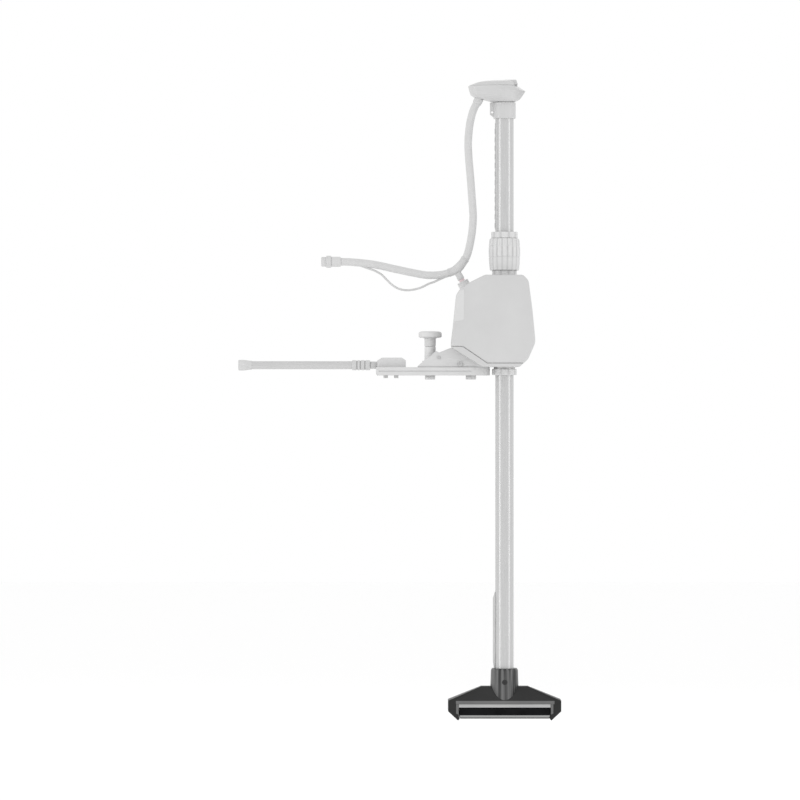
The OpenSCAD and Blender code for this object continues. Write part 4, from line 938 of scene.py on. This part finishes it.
half_shell("housing_front_shell", -1, "housing_front")
rear = half_shell("housing_rear_shell", 1, "housing_rear")
screw_places = [(19.5, 160.5), (80, 198.4), (147, 198.4), (161.5, 118), (163, 63), (13, 73)]
bored(rear, [turned([(58.5, 4.25), (67, 4.25)], (0, 1, 0), (x, 0, z), 32) for x, z in screw_places])
print("rear shell", len(rear.data.polygons), "faces")

# %% [markdown]
# ## Trim of the housing
# A lighter panel is let into each side by the port. The closing plate under the shells is a separate,
# slightly darker moulding, and its upper edge shows as a thin diagonal band. Six screws hold the shells
# from behind.

# %% Panels, closing plate and screws
panel_corners = [(6.5, 109), (27.8, 113.4), (27.8, 176.2), (19.4, 176.2), (12.4, 166.4)]
panel_radii, panel_depth = [3, 2.5, 2.5, 3, 4], 5.45
panels = [plate(panel_corners, panel_radii, y0, y0 + panel_depth, 2.4, 0.1, 6) for y0 in (-64.95, 59.5)]
make("port_side_panels", panels, "carrier", panel_plastic, "port_panel", smooth=30)
softened("closing_plate", "housing_base", "carrier", 1.0, band_plastic, 3)
softened("shell_screws", "cover_screws", "carrier", 0.4, fastener_steel)
softened("sleeve_bearings", "sleeve_bushes", "carrier", 0.3, bearing_plastic)

# %% [markdown]
# ## Depth nut and its rings
# The nut has three bands: short ribs at the top, broad finger flutes in the middle and long facets on the
# taper below. Each is a change of radius round the part, a raised cosine to some power, blended from band
# to band by height. The rings over and under the nut are scalloped for the same grip.

# %% Fluted nut
def band(z, low, high):
    """Smooth window: one between low and high, zero outside, with 1.2 mm ramps."""
    return 0.25 * (1 + np.tanh((z - low) / 0.5)) * (1 + np.tanh((high - z) / 0.5))

def nut_wave(t, z, r):
    """Radius of the nut: 36 ribs near the top, 18 flutes in the middle, 18 facets on the taper."""
    outside = 0.5 * (1 + np.tanh((r - 28.4) / 0.4))
    ribs = 1.15 * (0.5 + 0.5 * np.cos(36 * t)) ** 2 * band(z, 267.6, 280.6)
    flutes = 1.7 * (0.5 + 0.5 * np.cos(18 * t)) ** 4 * band(z, 245.6, 265.8)
    facets = 0.7 * np.abs(np.sin(9 * t)) ** 3 * band(z, 218.6, 242.6)
    return r - outside * (ribs + flutes + facets)

nut_corners = [(216.6, 22.5), (216.6, 29.4), (217.8, 30.2), (230, 31.4), (243.0, 32.2), (243.6, 31.3),
               (244.8, 31.3), (245.4, 32.5), (256, 32.75), (265.6, 32.3), (266.2, 31.5), (267.0, 31.5),
               (267.8, 32.1), (276, 31.4), (280.4, 30.6), (282.4, 28.8), (282.4, 22.5)]
ring_round_pole("depth_clamp_nut", nut_corners, 0.5, "clamp_nut", nut_plastic, "depth_nut", nut_wave,
                sides=360)

# %% Scalloped rings
def scallops(depth, count=10, inner=24):
    """Scallops round a ring: depth times |cos|^3, only outside the inner radius."""
    def wave(t, z, r):
        outside = 0.5 * (1 + np.tanh((r - inner) / 0.4))
        return r - depth * np.abs(np.cos(count * t / 2)) ** 3 * outside
    return wave

top_corners = [(282.7, 21.2), (282.7, 27.4), (283.5, 28.1), (294.7, 28.1), (295.6, 27.2), (295.6, 21.2)]
seat_corners = [(206.25, 22.2), (206.25, 25.6), (207.0, 26.1), (215.4, 26.1), (216.2, 25.4), (216.2, 22.2)]
retainer_corners = [(0.8, 22.2), (0.8, 25.0), (1.6, 26.0), (12.4, 26.0), (13.4, 25.2), (13.4, 22.2)]
for name, corners, radius, depth, node in (("top_clamp_ring", top_corners, 0.6, 1.5, "top_ring"),
                                           ("nut_seat_ring", seat_corners, 0.5, 1.0, "neck_ring"),
                                           ("lower_retainer", retainer_corners, 0.5, 1.0, "lower_collar")):
    ring_round_pole(name, corners, radius, "rotor", ring_plastic, node, scallops(depth))

# %% [markdown]
# ## Mount
# The plate, the rod block and the cradle are cast and powder coated, which leaves every edge with a soft
# radius. They keep their exact shapes because other things bolt to them. Bolts and screws are turned steel
# and their heads have the usual chamfer.

# %% Plate, block, cradle and fasteners
softened("swing_plate", "mount_plate", "base", 1.1, plate_coat, 3)
softened("swing_bush", "pivot_bush", "base", 0.3, bronze)
softened("anchor_hex_bolt", "anchor_bolt", "base", 0.6, fastener_steel)
softened("swing_hex_bolt", "pivot_bolt", "carrier", 0.6, fastener_steel)
softened("stay_block", "rod_block", "base", 1.6, plate_coat, 3)
softened("stay_block_screws", "block_screws", "base", 0.4, fastener_steel)
softened("swing_cradle", "cradle", "carrier", 1.3, cradle_coat, 3)
softened("cradle_fasteners", "cradle_pins", "carrier", 0.5, fastener_steel)

# %% [markdown]
# ## Pull knob
# The mushroom head is moulded on the plunger. Its rim is fully rounded and its underside has a cove for the
# fingertips. The sleeve under it is a turned tube with a chamfered mouth.

# %% Knob and sleeve
knob_foot = (-42, 0, 0)
knob_corners = [(59.6, 5.1), (59.6, 10.6), (60.6, 11.6), (75.6, 11.6), (77.4, 14.4), (77.7, 21.6),
                (80.2, 24.0), (86.6, 24.1), (89.6, 22.2), (91.2, 17.6), (91.4, 0.3)]
knob_radii = [0.5, 0.7, 0.7, 2.6, 2.0, 2.4, 3.2, 3.2, 2.6, 6, 1]

def finger_dimples(t, z, r):
    """Twelve shallow dimples on the rim: 0.5 mm times a bell in height and a cosine round."""
    return r - 0.5 * np.exp(-((z - 83.4) / 2.2) ** 2) * (0.5 + 0.5 * np.cos(12 * t)) ** 3 * (r > 18)

knob_rows = spaced(rounded(knob_corners, knob_radii, steps=7, closed=False), 0.8)
knob_grid = turned(knob_rows, up, knob_foot, 144, finger_dimples)
make("mushroom_knob", [knob_grid], "knob", grip_plastic, "pull_knob", smooth=50)
sleeve_corners = [(30, 8.5), (30, 11.6), (44, 11.6), (44.4, 11.2), (45.0, 11.2), (45.4, 11.6), (58.3, 11.6),
                  (59.3, 10.6), (59.3, 5.15), (55, 5.15), (55, 8.5)]
sleeve_grid = turned(spaced(rounded(sleeve_corners, 0.4), 1.2, True), up, knob_foot, 96, cap=False)
make("plunger_sleeve", [sleeve_grid], "carrier", sleeve_coat_painted_light, "knob_sleeve")
softened("plunger", "plunger_pin", "knob", 0.4, fastener_steel)

# %% [markdown]
# The return spring is a coil of round wire between the plunger's collar and the roof of its sleeve. It has
# to shorten when the knob is pulled, or the collar would run into it; here its turns rise evenly and it
# does not shorten.

# %% Return spring
spring_turns, spring_radius, wire_radius = 5, 6.9, 0.8

def coil_path(turns, radius, z0, z1, axis_x):
    """Helix: radius times cosine and sine of the turn angle, rising evenly from z0 to z1."""
    a = np.linspace(0, 2 * np.pi * turns, 48 * turns + 1)
    return np.stack([axis_x + radius * np.cos(a), radius * np.sin(a), np.linspace(z0, z1, a.size)], 1)

coil = coil_path(spring_turns, spring_radius, 35.05, 53.95, knob_foot[0])
spring = make("return_spring", [coiled(coil, wire_radius)], "carrier", fastener_steel, "knob_spring")
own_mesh(spring)
print("spring wire", round(length_of(coil) / MM, 1), "mm in", spring_turns, "turns")

# %% [markdown]
# ## Stay rod
# The sliding tube has a rubber cap on its free end and a ringed nut where it runs onto the fixed rod. The
# nut's three rings are grooves with painted shade in them, and fine straight knurling lies between them.

# %% Tube, cap, nut and inner rod
stay_z = 21.2
outboard, stay_line = (1, 0, 0), (0, 0, stay_z)
stay_corners = [(-425, 6.8), (-425, 8.4), (-190, 8.4), (-190, 6.8)]
stay_grid = turned(spaced(rounded(stay_corners, 0.4), 10, True), outboard, stay_line, 96, cap=False)
make("stay_tube", [stay_grid], "stay", rod_skin, "rod_tube")

cap_corners = [(-437, 0.3), (-437, 10.0), (-435.6, 11.0), (-425.2, 11.0), (-420, 10.4), (-415, 9.5),
               (-409.2, 9.15), (-409.1, 8.5), (-424, 8.5), (-424.9, 8.5), (-424.95, 0.3)]
cap_radii = [1, 1.2, 1, 2.5, 2.5, 2.5, 0.3, 0.2, 0.2, 0.2, 0.2]

def cap_ribs(t, z, r):
    """Fine rings moulded round the cap's waist."""
    waist = (z > -424) & (z < -410.5) & (r > 8.9)
    return r - 0.22 * (0.5 + 0.5 * np.cos(2 * np.pi * z / 2.1)) ** 4 * waist

cap_rows = spaced(rounded(cap_corners, cap_radii, steps=5, closed=False), 0.5)
cap_grid = turned(cap_rows, outboard, stay_line, 96, cap_ribs)
make("stay_end_cap", [cap_grid], "stay", pale_rubber, "rod_end_cap", smooth=50)

nut_side = [(0, 9.4), (1.0, 10.4), (8.4, 10.5), (9.0, 9.3), (11.6, 9.3), (12.2, 10.5), (15.6, 10.5),
            (16.2, 9.3), (18.8, 9.3), (19.4, 10.5), (25.0, 10.5), (25.6, 9.3), (28.0, 9.3), (28.6, 10.5),
            (36.2, 10.4), (37.6, 9.4)]
lock_corners = [(0, 8.6)] + nut_side + [(37.6, 7.0), (13.4, 7.0), (13.4, 8.6)]

def knurl(t, z, r):
    """Straight knurling: 40 ridges round, 0.3 mm deep, only on the lands."""
    return r - 0.3 * (0.5 + 0.5 * np.cos(40 * t)) ** 2 * (0.5 * (1 + np.tanh((r - 10.2) / 0.1)))

lock_rows = spaced(rounded(lock_corners, 0.4), 0.7, True)
lock_grid = turned(lock_rows, outboard, (-203, 0, stay_z), 240, knurl, cap=False)
make("stay_lock_nut", [lock_grid], "stay_nut", nut_ring_plastic, "rod_lock_nut", smooth=50)
softened("stay_inner_rod", "inner_rod", "base", 0.5, rod_skin)

# %% [markdown]
# ## Foot
# The foot is charcoal moulding: a clamp collar that runs down over the body in a pointed arch, the sloping
# body, two end caps with hooked tips, a bright rail and the black gloss window under the sonar elements.
# The window's gloss against the satin mouldings round it is what the eye sees first, so each has its own
# finish. Faint light streaks are painted down the collar as highlights of the strip lamps.

# %% Collar, body, caps, rail and window
softened("foot_clamp_collar", "foot_collar", "pole", 0.6, collar_plastic, 2, 24)
softened("foot_housing", "foot_body", "pole", 0.9, foot_plastic, 3, 20)
softened("foot_hook_caps", "foot_end_caps", "pole", 1.2, cap_plastic, 3, 20)
softened("foot_bright_rail", "foot_rail", "pole", 0.7, rail_trim, 2)
softened("foot_gloss_window", "foot_window", "pole", 2.0, window_black, 4)
softened("foot_fasteners", "foot_screws", "pole", 0.35, fastener_dark)

# %% Lip frame, and the window's painted reflection strips
def both_faces(corners, radius, depth, roll):
    """One flat frame part on the front and the back face of the foot, depth thick and 0.3 mm proud."""
    return [plate(corners, radius, y0, y0 + depth, roll, 0, 4) for y0 in (-29.3, 29.3 - depth)]

lip_bar = [(10.9, -675.3), (213.3, -675.3), (213.3, -668.4), (10.9, -668.4)]
lip_left = [(11.2, -694.6), (16.4, -696.6), (16.4, -675.4), (11.2, -675.4)]
lip_right = [(222.2 - x, z) for x, z in lip_left]
lip_frame = both_faces(lip_bar, 0.8, 2.2, 0.5)
for corners in (lip_left, lip_right):
    lip_frame += both_faces(corners, 0.8, 2.0, 0.5)
make("foot_lip_frame", lip_frame, "pole", lip_plastic)
# A thin light strip on each face, along the window's lower edge, is a painted reflection of the lamps.
reflection_strip_corners = [(19.4, -702.9), (202.8, -702.9), (204.2, -698.2), (18.0, -698.2)]
strips = [plate(reflection_strip_corners, 0.6, y0, y0 + 1.3, 0.35, 0, 4) for y0 in (-27.5, 26.2)]
make("painted_window_reflection_strips", strips, "pole", painted_window_reflection)

# %% [markdown]
# ## Inner parts
# What lies inside the housing and the foot keeps its CAD shape. Each piece gets the finish of its own
# material, so that a cut-away or a pulled-up knob shows real parts.

# %% Finishes of the carried-over nodes
finish_of = {"controller_board": board_green, "gear_bracket": fastener_steel, "motor_body": can_steel,
             "motor_pinion": bronze, "compound_gear": gear_plastic, "steering_sleeve": rod_skin,
             "main_gear": gear_plastic, "collet": fitting_plastic, "pole_cable": lead_rubber,
             "foot_array": element_ceramic}
by_slot = {"pale_metal": plate_coat, "bright_metal": fastener_steel, "rod_metal": rod_skin,
           "pale_plastic": shell_plastic, "mid_plastic": fitting_plastic, "panel_plastic": panel_plastic,
           "nut_plastic": nut_plastic, "bearing_plastic": bearing_plastic, "gear_plastic": gear_plastic,
           "bronze": bronze, "soft_grey": pale_rubber, "sleeve_braid": sleeve_weave, "seal_red": seal_pink,
           "board_green": board_green, "tube_skin": tube_skin, "foot_black": foot_plastic,
           "foot_gloss": window_black, "foot_bright": rail_trim, "lead_black": lead_rubber,
           "sonar_block": element_ceramic}
for node_name, cad_node in frame["nodes"].items():
    cad_node.data.materials.clear()
    cad_node.data.materials.append(finish_of.get(node_name, by_slot[slot_of[node_name]]))
print(len(frame["nodes"]), "CAD nodes have a finish")
